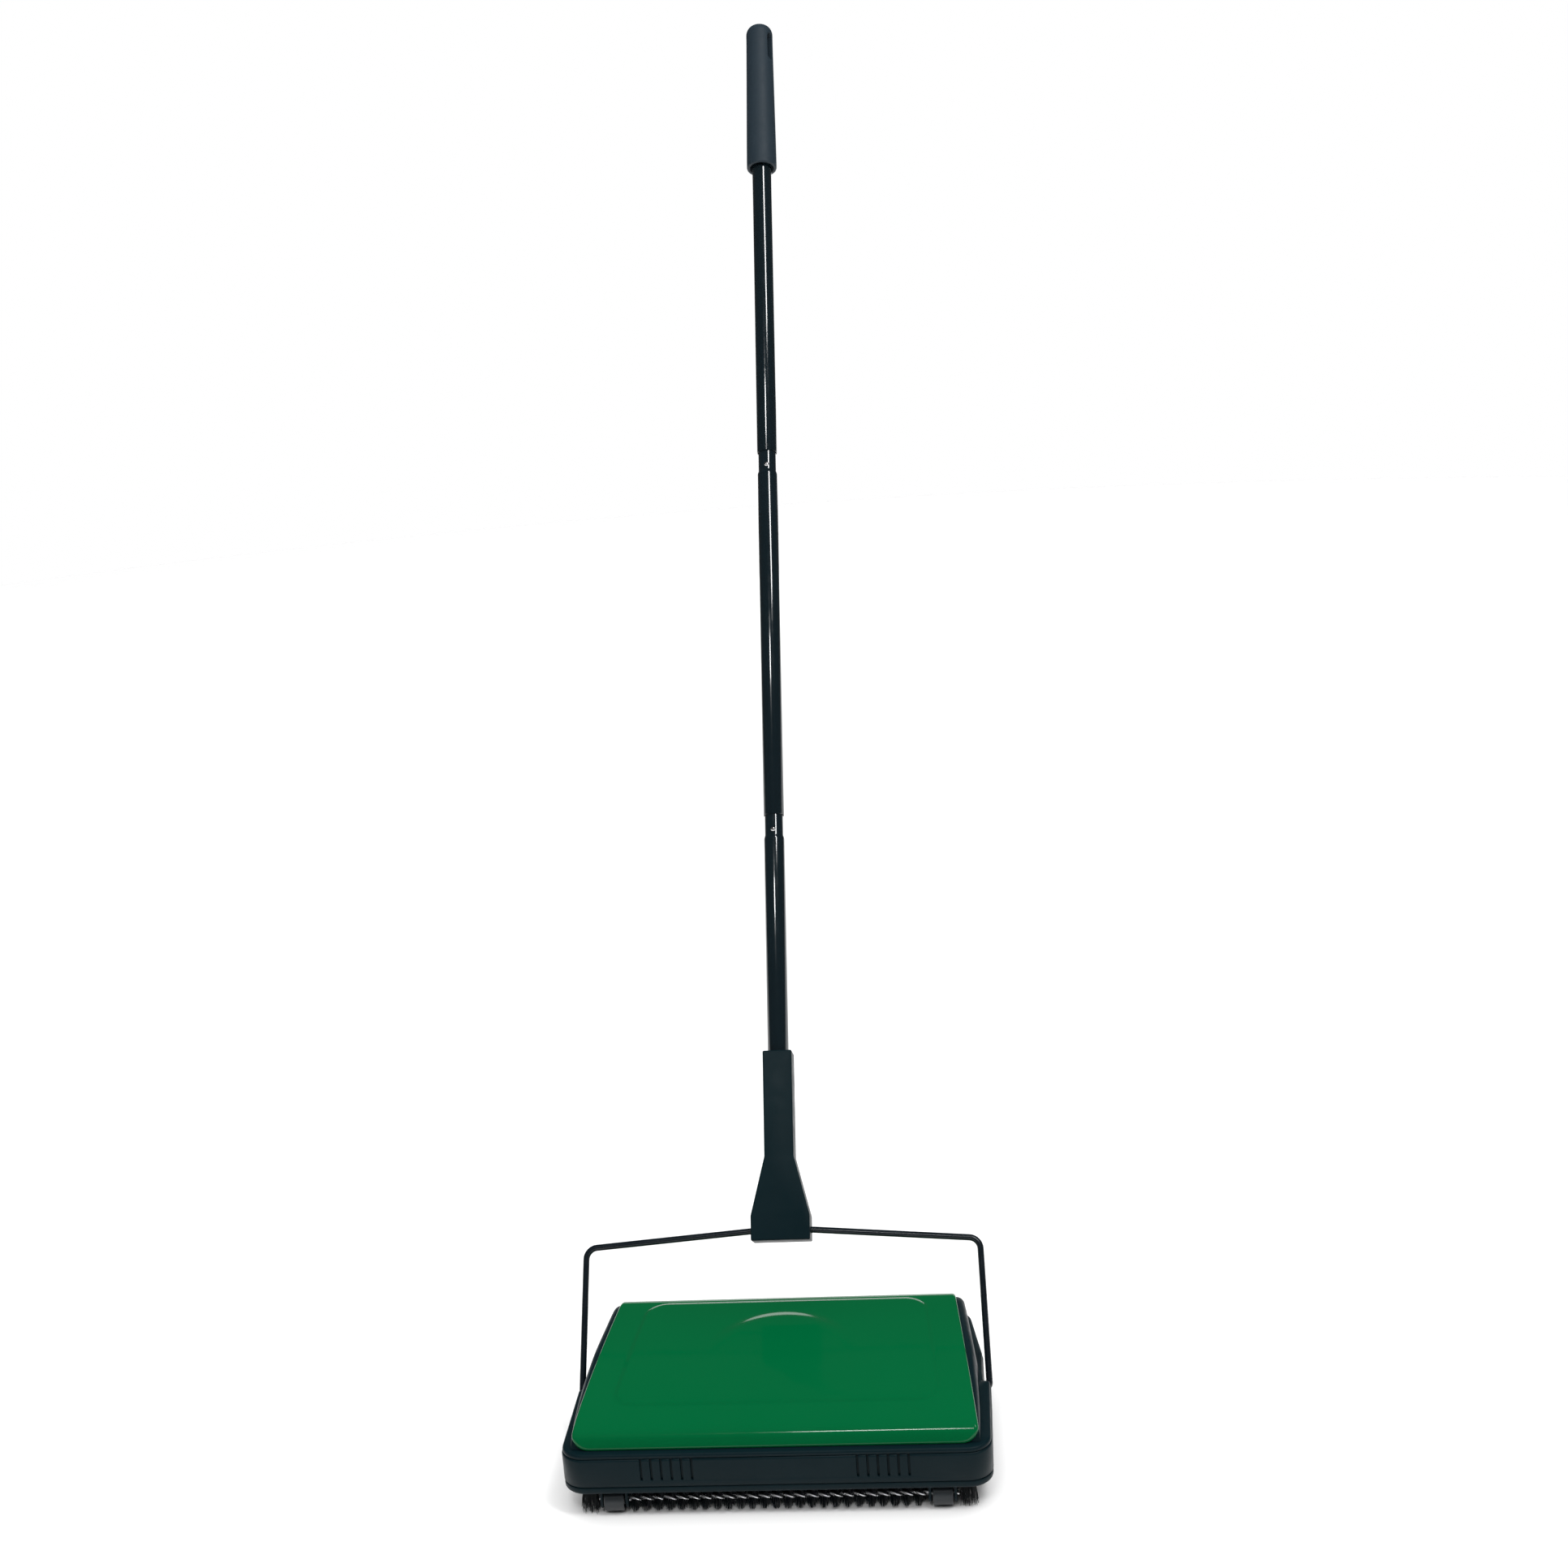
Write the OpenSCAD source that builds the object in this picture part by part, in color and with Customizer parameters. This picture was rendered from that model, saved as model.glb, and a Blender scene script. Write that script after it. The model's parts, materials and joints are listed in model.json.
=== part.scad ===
// Manual carpet sweeper: two spiral brushes geared to four wheels by friction, two dust pans
// between them, a snap-on cover, and a three-section tube handle on a wire bail.
// Origin: on the floor under the bail pivot. +X is the sweeper's right, +Y its back, +Z up.
// The handle is drawn leaning back by handle_lean.

/* [Body] */
// Width across the front bumper
body_w = 280; // [250:1:340]
// Depth from the front face to the rear face
body_d = 180; // [172:1:216]
// Height of the lower edge of the base frame above the floor
skirt_z = 18; // [16:0.5:20]
// Height of the base frame's outer wall
skirt_h = 25; // [24:0.5:30]
// Thickness of the base frame's outer wall
wall = 2.6; // [2:0.1:3.2]
// Plan radius of the four body corners
corner_r = 16; // [10:1:20]
// How far each side steps in behind the bail
side_step = 5; // [4.5:0.1:7]
// How far each side tapers in towards the rear
rear_taper = 9; // [0:1:12]
// Thickness of the deck's rim above the base frame
deck_rim_h = 3.5; // [2.5:0.1:5]

/* [Cover] */
// Width of the cover at its front lip
cover_w = 264; // [230:1:266]
// Height of the crown of the cover above the floor
crown_z = 75; // [70:0.5:90]
// Thickness of the cover
cover_t = 2.2; // [1.8:0.1:2.6]
// Gap between the cover and the housing under it
cover_gap = 0.3; // [0.2:0.1:0.6]
// Height of the upright front lip of the cover
cover_lip_h = 2; // [1:0.5:6]
// Distance from the crown back to the rear edge of the cover
crown_back = 18; // [14:1:30]
// How far the cover narrows on each side, per millimetre towards the rear
cover_taper = 0.1; // [0:0.002:0.16]

/* [Running gear] */
// Wheel diameter over the tyre
wheel_d = 40; // [36:0.5:42]
// Width of the tyre
tyre_w = 11; // [8:0.5:12]
// Diameter of the wheel hub inside the tyre
hub_d = 28; // [22:0.5:31]
// Diameter of the wheel axles
axle_d = 5; // [4:0.1:6]
// Diameter of the brushes over the bristle tips
brush_d = 17.6; // [16:0.2:20]
// Diameter of the twisted wire core of the brushes
core_d = 3.2; // [2.6:0.1:4]
// Diameter of the brush pulleys that the tyres press on
pulley_d = 16; // [13:0.5:17]
// Radial clearance of every running fit
run_gap = 0.05; // [0.02:0.01:0.1]

/* [Dust pans] */
// Thickness of the dust pan walls
pan_t = 1.8; // [1.4:0.1:2.4]
// Height of the dust pan floor above the floor
pan_z = 9; // [8:0.5:10]
// Diameter of the hinge pins of the dust pans
pan_pin_d = 4; // [3:0.1:4.4]

/* [Handle] */
// Lean of the handle from the vertical as drawn, in degrees
handle_lean = 32; // [0:1:45]
// Diameter of the bail wire
wire_d = 4.4; // [4:0.1:4.8]
// Distance from the pivot to the bail's upper corners
bail_h = 100; // [98:1:130]
// How much higher the bail's middle is than its corners
bail_rise = 8.7; // [4:0.1:12]
// Outer diameter of the handle tubes
tube_d = 15; // [13:0.1:16]
// Wall thickness of the handle tubes
tube_wall = 0.6; // [0.5:0.1:1]
// Length of the handle socket
socket_l = 131.5; // [110:0.5:150]
// Width of the socket at its foot
socket_foot_w = 41; // [36:1:50]
// Width of the socket where it holds the tube
socket_top_w = 20.5; // [19.5:0.1:24]
// Depth of the socket from front to back
socket_t = 20.5; // [19.5:0.1:24]
// Length of the lower tube that shows above the socket, up to its shoulder
lower_show = 158; // [120:1:220]
// Length of the middle tube from its mouth to its shoulder
middle_show = 271.5; // [200:1:340]
// Length of the upper tube from its mouth to the grip
upper_show = 245; // [180:1:320]
// Length of narrowed neck that shows at each tube joint
neck_show = 15.5; // [13:0.5:20]
// Length of the grip
grip_l = 129; // [110:1:160]
// Diameter of the grip at its mouth
grip_foot_d = 23.6; // [21:0.2:28]
// Diameter of the grip near its top
grip_top_d = 21.2; // [19:0.2:24]

/* [Hidden] */

$fn = 64;
arc_steps = 8;
eps = 0.01;

black = [0.06, 0.09, 0.11];
charcoal = [0.16, 0.19, 0.22];
green = [0.0, 0.38, 0.19];
steel = [0.7, 0.71, 0.72];
rubber = [0.05, 0.05, 0.05];

// Levels
seam_z = skirt_z + skirt_h;
deck_z = seam_z + deck_rim_h;
front_y = -body_d / 2;
rear_y = body_d / 2;
half_w = body_w / 2;
rear_half_w = half_w - side_step;

// The step that the bail stands behind, and where the rear taper starts
step_y = -6;
taper_y = 30;

// Bail pivot, in the side walls just under the seam
bush_boss_r = 6.4;
bush_r = 4;
bush_flange_r = 5.6;
bush_flange_t = 1;
bush_l = 9;
pivot_z = seam_z - bush_boss_r - 0.6;
wire_r = wire_d / 2;
pin_bend_r = 4;
pin_x = rear_half_w + pin_bend_r;
bail_corner_x = pin_x - 2.5;
bail_bend_r = 8;
pin_end_x = rear_half_w - 11;
bend_overlap = 0.2;
bend_swell = 0.02;

// Rails that carry the running gear: the pulleys and wheels run between each pair
rail_t = 2;
tuft_room = 24;
outer_rail_x = half_w - tuft_room - rail_t;
rail_gap = 14.5;
inner_rail_x = outer_rail_x - rail_gap - rail_t;
gear_x = outer_rail_x - rail_gap / 2;
gear_w = rail_gap - 1.5;
rail_top_z = seam_z - 1;
brush_tongue_r = core_d / 2 + 4.4;
wheel_tongue_r = axle_d / 2 + 4;

// Brushes and wheels
wheel_r = wheel_d / 2;
pulley_r = pulley_d / 2;
brush_r = brush_d / 2;
brush_floor_gap = 0.3;
brush_z = brush_r + brush_floor_gap;
brush_inset = 10.2;
brush_y = body_d / 2 - brush_inset;
drive_gap = 0.3;
drive_l = wheel_r + pulley_r + drive_gap;
wheel_y = brush_y - sqrt(pow(drive_l, 2) - pow(wheel_r - brush_z, 2));
bristle_half_l = inner_rail_x - 1.5;

// Dust pans, hinged at their inner lower edges
pan_pin_r = pan_pin_d / 2;
knuckle_r = pan_pin_r + 1.6;
pan_pin_gap = 0.5;
pan_inner_y = 2.2;
pan_pin_y = pan_inner_y + pan_t + pan_pin_r + pan_pin_gap;
pan_pin_z = pan_z + pan_t + pan_pin_r + pan_pin_gap;
pan_outer_y = brush_y - brush_r - 1.3;
pan_top_z = seam_z - 5;
pan_half_w = inner_rail_x - 4.3;
pan_tongue_r = pan_pin_r + 2.6;
knuckle_l = 22;
pan_lip_l = 7;
pan_lip_rise = 4;

// Pan springs: a few turns on each pin, between the pan and the right inner rail
spring_wire_r = 0.45;
spring_turns = 2.5;
spring_pitch = 1.1;
spring_r = pan_pin_r + 0.3 + spring_wire_r;
spring_leg = 9;

// Corner tufts and deck screws
shelf_z = skirt_z + 8;
shelf_t = 2.5;
tuft_inset = 0.5;
tuft_x = outer_rail_x + rail_t + 1.5;
front_tuft_w = 11.5;
tuft_d = 11;
front_tuft_y = -(body_d / 2 - 16);
rear_tuft_y = body_d / 2 - 29;

// The rear tufts fill the width up to the tapering side wall
rear_tuft_gap = 0.6;
rear_taper_share = (rear_tuft_y + tuft_d - taper_y) / (rear_y - taper_y);
rear_tuft_wall_x = rear_half_w - rear_taper * rear_taper_share - wall;
rear_tuft_w = rear_tuft_wall_x - rear_tuft_gap - tuft_x;

screw_r = 1.5;
screw_head_r = 3.2;
screw_head_h = 2.2;
screw_boss_r = 3.5;
front_screw = [outer_rail_x + rail_t + 9, -(body_d / 2 - 30)];
rear_screw = [outer_rail_x + rail_t + 6, body_d / 2 - 42];

// Vents in the front wall
vent_count = 6;
vent_pitch = 6.6;
vent_w = 1.5;
vent_h = 14.5;
vent_x = body_w * 0.25;
vent_deep = 1.2;

// Cover and the housing under it
cover_front_y = front_y + 12;
cover_rear_y = rear_y - 16;
cover_a = (cover_rear_y - cover_front_y) / 2;
cover_mid_y = (cover_rear_y + cover_front_y) / 2;
crown_y = cover_rear_y - crown_back;
front_arch_power = 1.3;
rear_arch_power = 2.4;
arch_start_h = 0.1;
arch_steps = 26;
cover_corner_r = 11;
cover_rear_corner_r = 20;
housing_t = 2;
housing_margin = 4.5;
housing_lean = 9.5;

// Distances along the handle, measured from the pivot
socket_s = bail_h + 1.5;
bail_mid_s = bail_h + bail_rise;
socket_top_s = socket_s + socket_l;
flare_start = 17;
flare_end = 57.5;
tube_in_socket = 45;
neck_in = 28;
shoulder_l = 2;
lower_end_s = socket_top_s + lower_show;
middle_start_s = lower_end_s + neck_show;
middle_end_s = middle_start_s + middle_show;
upper_start_s = middle_end_s + neck_show;
grip_s = upper_start_s + upper_show;
grip_top_s = grip_s + grip_l;
tube_r = tube_d / 2;
bore_r = tube_r - tube_wall;
neck_r = bore_r - 0.15;
upper_end_s = grip_top_s - 48;

// Grip details
mouth_r = tube_r + 1.8;
mouth_deep = 4;
crown_r = 8;
crown_flat_r = 4.5;
hang_slot_w = 6;
hang_slot_l = 24;
hang_slot_top = 9;
hang_slot_turn = 30;

// Snap buttons in the necks
button_r = 2;
button_proud = 1.3;
button_l = 3.4;
button_gap = 0.05;
button_below_mouth = neck_show - 4;

// ---- plan outlines ----

function unit(v) = v / norm(v);

// Points of an arc of radius r that rounds the corner p1 between p0 and p2
function rounded_corner(p0, p1, p2, r) =
  let (u = unit(p0 - p1), v = unit(p2 - p1), half = acos(u * v) / 2, c = p1 + unit(u + v) * r / sin(half),
       a = p1 + u * r / tan(half) - c, b = p1 + v * r / tan(half) - c, start = atan2(a[1], a[0]),
       turn = atan2(a[0] * b[1] - a[1] * b[0], a * b))
  [for (i = [0:arc_steps]) c + r * [cos(start + turn * i / arc_steps), sin(start + turn * i / arc_steps)]];

function rounded(points, radii) =
  let (n = len(points))
  [for (i = [0:n - 1]) each rounded_corner(points[(i + n - 1) % n], points[i], points[(i + 1) % n], radii[i])];

// Plan of the base, drawn inset by t from its outer face
function base_plan(t) =
  let (fw = half_w - t, rw = rear_half_w - t, ew = rear_half_w - rear_taper - t, fy = front_y + t,
       ry = rear_y - t, sy = step_y - t, cr = max(corner_r - t, 1))
  rounded([[-fw, fy], [fw, fy], [fw, sy], [rw, sy], [rw, taper_y], [ew, ry],
           [-ew, ry], [-rw, taper_y], [-rw, sy], [-fw, sy]],
          [cr, cr, 2, 1, 20, cr, cr, 20, 1, 2]);

// Plan of the cover, drawn inset by t from its edge
function cover_plan(t) =
  let (fw = cover_w / 2 - t, ew = cover_w / 2 - cover_taper * 2 * cover_a - t,
       fy = cover_front_y + t, ry = cover_rear_y - t)
  rounded([[-fw, fy], [fw, fy], [ew, ry], [-ew, ry]],
          [cover_corner_r, cover_corner_r, cover_rear_corner_r, cover_rear_corner_r]);

// Side profile of the arch, inset by t: an upright lip, a long low climb to the crown, and a
// rounded drop behind it
function arch_profile(t) =
  let (lip = max(cover_lip_h - t, arch_start_h), h = crown_z - t - deck_z - lip)
  concat([[cover_front_y + t, deck_z]],
         [for (i = [0:arch_steps])
            let (u = -cos(180 * i / arch_steps),
                 reach = u < 0 ? crown_y - cover_front_y - t : cover_rear_y - crown_y - t,
                 power = u < 0 ? front_arch_power : rear_arch_power)
            [crown_y + reach * u, deck_z + lip + h * sqrt(max(0, 1 - pow(abs(u), power)))]],
         [[cover_rear_y - t, deck_z]]);

module base_prism(t, z0, z1) translate([0, 0, z0]) linear_extrude(z1 - z0) polygon(base_plan(t));

// A solid with the arch as its side profile, from x0 to x1
module arch_prism(t, x0, x1)
  translate([x0, 0, 0]) rotate([90, 0, 90]) linear_extrude(x1 - x0) polygon(arch_profile(t));

// ---- base ----

module ring_layer(outer_t, z0, z1) difference() {
  base_prism(outer_t, z0, z1);
  base_prism(wall, z0 - 1, z1 + 1);
}

module outer_wall() {
  lip_h = 5.4;
  edge_h = 1.2;
  groove_h = 0.7;
  ring_layer(1, skirt_z, skirt_z + edge_h);
  ring_layer(0.2, skirt_z + edge_h, skirt_z + lip_h - groove_h);
  ring_layer(0.8, skirt_z + lip_h - groove_h, skirt_z + lip_h);
  ring_layer(0, skirt_z + lip_h, seam_z);
}

// One row of vent grooves, open at the seam
module vents() for (side = [-1, 1], i = [0:vent_count - 1])
  translate([side * vent_x + (i - (vent_count - 1) / 2) * vent_pitch, front_y, seam_z - vent_h]) {
    translate([-vent_w / 2, -1, 0]) cube([vent_w, 1 + vent_deep, vent_h + 1]);
    translate([0, -1, 0]) rotate([-90, 0, 0]) cylinder(d = vent_w, h = 1 + vent_deep);
  }

module along_x(x0, x1, y, z, r) translate([x0, y, z]) rotate([0, 90, 0]) cylinder(r = r, h = x1 - x0);

// A tongue that hangs from a rail and carries a bearing
module tongue(x, y, z, r) {
  along_x(x, x + rail_t, y, z, r);
  translate([x, y - r, z]) cube([rail_t, 2 * r, rail_top_z - z - 1]);
}

// An upright rail that fits between the front and rear walls, and carries the running gear
module rail(x) color(black) difference() {
  union() {
    intersection() {
      base_prism(wall, 0, seam_z);
      translate([x, front_y, skirt_z + 2]) cube([rail_t, body_d, rail_top_z - skirt_z - 2]);
    }
    for (e = [-1, 1]) {
      tongue(x, e * brush_y, brush_z, brush_tongue_r);
      tongue(x, e * wheel_y, wheel_r, wheel_tongue_r);
      if (x < outer_rail_x) tongue(x, e * pan_pin_y, pan_pin_z, pan_tongue_r);
    }
  }
  for (e = [-1, 1]) {
    along_x(x - 1, x + rail_t + 1, e * brush_y, brush_z, core_d / 2 + run_gap);
    along_x(x - 1, x + rail_t + 1, e * wheel_y, wheel_r, axle_d / 2);
    if (x < outer_rail_x) along_x(x - 1, x + rail_t + 1, e * pan_pin_y, pan_pin_z, pan_pin_r);
  }
}

module shelf(y0, y1) translate([outer_rail_x + rail_t, y0, shelf_z])
  cube([half_w - outer_rail_x - rail_t, y1 - y0, shelf_t]);

module side_mirror() for (s = [0, 1]) mirror([s, 0, 0]) children();

module base_frame() color(black) difference() {
  union() {
    difference() { outer_wall(); vents(); }
    intersection() {
      base_prism(wall / 2, 0, seam_z);
      side_mirror() {
        shelf(front_y, -(body_d / 2 - 36));
        shelf(body_d / 2 - 48, rear_y);
        along_x(pin_end_x + 3, rear_half_w, 0, pivot_z, bush_boss_r);
      }
    }
  }
  side_mirror() {
    along_x(pin_end_x, half_w, 0, pivot_z, bush_r);
    along_x(rear_half_w - bush_flange_t, half_w, 0, pivot_z, bush_flange_r);
    for (p = [front_screw, rear_screw]) translate([p[0], p[1], shelf_z - 1]) cylinder(r = screw_r, h = 10);
  }
}

module pivot_bush() color(charcoal) difference() {
  union() {
    along_x(rear_half_w - bush_l, rear_half_w - bush_flange_t, 0, pivot_z, bush_r);
    along_x(rear_half_w - bush_flange_t, rear_half_w, 0, pivot_z, bush_flange_r);
  }
  along_x(rear_half_w - bush_l - 1, rear_half_w + 1, 0, pivot_z, wire_r + run_gap);
}

// ---- deck and cover ----

// Half-space that bounds the housing's leaning, tapered side, inset by t
module housing_side(t) {
  top_x = cover_w / 2 + cover_taper * cover_front_y + housing_margin;
  translate([top_x - t, 0, crown_z]) rotate([0, 0, atan(cover_taper)]) rotate([0, -housing_lean, 0])
    translate([-half_w * 2, -body_d, -body_w]) cube([half_w * 2, body_d * 2, body_w * 2]);
}

module housing_volume(t) intersection() {
  arch_prism(cover_t + cover_gap + t, -half_w, half_w);
  housing_side(t);
  mirror([1, 0, 0]) housing_side(t);
  base_prism(3 + t, deck_z - 1, crown_z + 1);
}

module top_deck() color(black) difference() {
  union() {
    base_prism(0.5, seam_z, seam_z + deck_rim_h / 2);
    base_prism(1.3, seam_z, deck_z);
    housing_volume(0);
    side_mirror() for (p = [front_screw, rear_screw])
      translate([p[0], p[1], shelf_z + shelf_t]) cylinder(r = screw_boss_r, h = seam_z - shelf_z - shelf_t + 1);
  }
  housing_volume(housing_t);
  intersection() {
    base_prism(6, seam_z - 1, deck_z + eps);
    translate([-outer_rail_x + 2, cover_mid_y - cover_a + 8, seam_z - 1])
      cube([2 * outer_rail_x - 4, 2 * cover_a - 16, deck_rim_h + 1 + eps]);
  }
  side_mirror() for (p = [front_screw, rear_screw])
    translate([p[0], p[1], shelf_z]) cylinder(r = screw_r, h = seam_z - shelf_z + 1);
}

module dome_cover() color(green) intersection() {
  difference() {
    arch_prism(0, -half_w, half_w);
    translate([0, 0, -eps]) arch_prism(cover_t, -half_w - 1, half_w + 1);
  }
  translate([0, 0, deck_z]) linear_extrude(crown_z) polygon(cover_plan(0));
}

module deck_screws() color(steel) side_mirror() for (p = [front_screw, rear_screw])
  translate([p[0], p[1], shelf_z]) {
    translate([0, 0, -screw_head_h]) cylinder(r = screw_head_r, h = screw_head_h);
    cylinder(r = screw_r, h = seam_z - shelf_z);
  }

// ---- running gear: e is -1 at the front, 1 at the rear; s is -1 on the left, 1 on the right ----

module at_side(s) mirror([s < 0 ? 1 : 0, 0, 0]) children();

module brush_core(e) color(steel) along_x(-outer_rail_x - rail_t - 1, outer_rail_x + rail_t + 1,
                                          e * brush_y, brush_z, core_d / 2);

module brush_bristles(e) color(black) difference() {
  along_x(-bristle_half_l, bristle_half_l, e * brush_y, brush_z, brush_r);
  along_x(-bristle_half_l - 1, bristle_half_l + 1, e * brush_y, brush_z, core_d / 2);
}

module pulley(e, s) color(charcoal) at_side(s) difference() {
  along_x(gear_x - gear_w / 2, gear_x + gear_w / 2, e * brush_y, brush_z, pulley_r);
  along_x(gear_x - gear_w, gear_x + gear_w, e * brush_y, brush_z, core_d / 2);
}

module wheel_hub(e, s) color(charcoal) at_side(s) difference() {
  union() {
    along_x(gear_x - gear_w / 2, gear_x + gear_w / 2, e * wheel_y, wheel_r, axle_d / 2 + 2.5);
    along_x(gear_x - tyre_w / 2, gear_x + tyre_w / 2, e * wheel_y, wheel_r, hub_d / 2);
  }
  along_x(gear_x - gear_w, gear_x + gear_w, e * wheel_y, wheel_r, axle_d / 2 + run_gap);
  // Dished faces
  for (d = [-1, 1]) translate([gear_x + d * tyre_w / 2, e * wheel_y, wheel_r]) rotate([0, 90, 0])
    difference() {
      cylinder(r = hub_d / 2 - 2.5, h = 4, center = true);
      cylinder(r = axle_d / 2 + 2.5, h = 5, center = true);
    }
}

module tyre(e, s) color(rubber) at_side(s) translate([gear_x - tyre_w / 2, e * wheel_y, wheel_r])
  rotate([0, 90, 0]) rotate_extrude() polygon([
    [hub_d / 2, 0], [wheel_r - 1.2, 0], [wheel_r, 1.2], [wheel_r, tyre_w - 1.2],
    [wheel_r - 1.2, tyre_w], [hub_d / 2, tyre_w]]);

module axle(e, s) color(steel) at_side(s)
  along_x(inner_rail_x - 1, outer_rail_x + rail_t + 1, e * wheel_y, wheel_r, axle_d / 2);

function tuft_y(e) = e < 0 ? front_tuft_y - tuft_d / 2 + tuft_inset : rear_tuft_y + tuft_d / 2;
function tuft_w(e) = e < 0 ? front_tuft_w : rear_tuft_w;

module tuft_block(e, s) color(charcoal) at_side(s)
  translate([tuft_x, tuft_y(e) - tuft_d / 2, skirt_z + tuft_inset])
    cube([tuft_w(e), tuft_d, shelf_z - skirt_z - tuft_inset]);

module tuft(e, s) color(black) at_side(s)
  translate([tuft_x + tuft_inset, tuft_y(e) - tuft_d / 2 + tuft_inset, 0])
    cube([tuft_w(e) - 2 * tuft_inset, tuft_d - 2 * tuft_inset, skirt_z + tuft_inset]);

// ---- dust pans ----

// Side profile of a pan's end wall, with the brush on the negative side
function pan_profile() = [
  [-pan_outer_y, pan_z + pan_lip_rise], [-pan_outer_y + pan_lip_l, pan_z], [-pan_inner_y, pan_z],
  [-pan_inner_y, pan_top_z], [-pan_inner_y - 14, pan_top_z], [-pan_outer_y, pan_z + pan_lip_rise + 4]];

module pan_slab(x0, x1, points) translate([x0, 0, 0]) rotate([90, 0, 90])
  linear_extrude(x1 - x0) polygon(points);

module pan() {
  floor_points = [
    [-pan_outer_y, pan_z + pan_lip_rise], [-pan_outer_y + pan_lip_l, pan_z], [-pan_inner_y, pan_z],
    [-pan_inner_y, pan_top_z], [-pan_inner_y - pan_t, pan_top_z], [-pan_inner_y - pan_t, pan_z + pan_t],
    [-pan_outer_y + pan_lip_l, pan_z + pan_t], [-pan_outer_y, pan_z + pan_lip_rise + pan_t]];
  difference() {
    union() {
      pan_slab(-pan_half_w, pan_half_w, floor_points);
      side_mirror() {
        pan_slab(pan_half_w - pan_t, pan_half_w, pan_profile());
        along_x(pan_half_w - knuckle_l, pan_half_w, -pan_pin_y, pan_pin_z, knuckle_r);
      }
    }
    side_mirror() along_x(pan_half_w - knuckle_l - 1, pan_half_w + 1, -pan_pin_y, pan_pin_z, pan_pin_r + run_gap);
  }
}

module pan_pin(e) color(steel)
  along_x(-inner_rail_x - rail_t - 1, inner_rail_x + rail_t + 1, e * pan_pin_y, pan_pin_z, pan_pin_r);

// Centre line of a pan spring: a leg, the turns, and a second leg
function spring_line() =
  let (x0 = pan_half_w + 0.8, turn_steps = 12, n = spring_turns * turn_steps)
  concat(
    [for (t = [1, 0.5]) [x0, spring_r, spring_leg * t]],
    [for (i = [0:n]) let (a = 360 * i / turn_steps)
       [x0 + spring_pitch * i / turn_steps, spring_r * cos(a), -spring_r * sin(a)]],
    [for (t = [0.5, 1]) [x0 + spring_turns * spring_pitch, -spring_r, spring_leg * t]]);

// A tube of radius r swept along a line of points whose bends stay in one plane's direction
module swept_tube(line, r, sides = 8) {
  n = len(line);
  x_axis = [1, 0, 0];
  rings = [for (i = [0:n - 1])
    let (d = unit(line[min(i + 1, n - 1)] - line[max(i - 1, 0)]), u = unit(x_axis - d * (x_axis * d)),
         v = cross(d, u))
    for (k = [0:sides - 1]) line[i] + r * (cos(360 * k / sides) * u + sin(360 * k / sides) * v)];
  walls = [for (i = [0:n - 2]) for (k = [0:sides - 1]) let (j = (k + 1) % sides)
    [i * sides + k, (i + 1) * sides + k, (i + 1) * sides + j, i * sides + j]];
  caps = [[for (k = [0:sides - 1]) k], [for (k = [sides - 1:-1:0]) (n - 1) * sides + k]];
  polyhedron(points = rings, faces = concat(walls, caps));
}

module pan_spring(e) color(steel) mirror([0, e > 0 ? 1 : 0, 0])
  translate([0, -pan_pin_y, pan_pin_z]) swept_tube(spring_line(), spring_wire_r);

// ---- handle ----

// Places a shape drawn along the handle, with the pivot at its origin
module on_handle() translate([0, 0, pivot_z]) rotate([-handle_lean, 0, 0]) children();

function turn_of(a, b) = atan2(a[0] * b[1] - a[1] * b[0], a * b);

// A round wire that follows points in the XZ plane, with a bend of radius radii[i] at each inner point
module bent_wire(points, radii, r) {
  n = len(points);
  dirs = [for (i = [0:n - 2]) unit(points[i + 1] - points[i])];
  turns = [for (i = [0:n - 1]) i == 0 || i == n - 1 ? 0 : turn_of(dirs[i - 1], dirs[i])];
  cut = [for (i = [0:n - 1]) radii[i] * tan(abs(turns[i]) / 2)];
  // The straights reach a little way into the bends, which are a hair fatter
  for (i = [0:n - 2]) {
    a = points[i] + dirs[i] * (cut[i] - (i > 0 ? bend_overlap : 0));
    b = points[i + 1] - dirs[i] * (cut[i + 1] - (i < n - 2 ? bend_overlap : 0));
    translate([a[0], 0, a[1]]) rotate([0, 90 - atan2(dirs[i][1], dirs[i][0]), 0]) cylinder(r = r, h = norm(b - a));
  }
  for (i = [1:n - 2]) {
    side = sign(turns[i]);
    start = points[i] - dirs[i - 1] * cut[i];
    centre = start + side * radii[i] * [-dirs[i - 1][1], dirs[i - 1][0]];
    out = start - centre;
    first = atan2(out[1], out[0]) + min(0, turns[i]);
    translate([centre[0], 0, centre[1]]) rotate([90, 0, 0]) rotate([0, 0, first])
      rotate_extrude(angle = abs(turns[i])) translate([radii[i], 0]) circle(r = r + bend_swell);
  }
}

module bail_wire() color(black) on_handle() {
  mid_x = socket_foot_w / 2 + 2;
  half = [[pin_end_x, 0], [pin_x, 0], [bail_corner_x, bail_h], [mid_x, bail_mid_s]];
  half_r = [0, pin_bend_r, bail_bend_r, bail_bend_r];
  bent_wire(concat(half, [for (i = [3:-1:0]) [-half[i][0], half[i][1]]]),
            concat(half_r, [for (i = [3:-1:0]) half_r[i]]), wire_r);
}

module socket_shape() {
  f = socket_foot_w / 2;
  t = socket_top_w / 2;
  translate([0, socket_t / 2, 0]) rotate([90, 0, 0]) linear_extrude(socket_t) polygon([
    [-f, socket_s], [f, socket_s], [f, socket_s + flare_start], [t, socket_s + flare_end],
    [t, socket_top_s], [-t, socket_top_s], [-t, socket_s + flare_end], [-f, socket_s + flare_start]]);
}

socket_screw_s = socket_top_s - 22;

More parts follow.
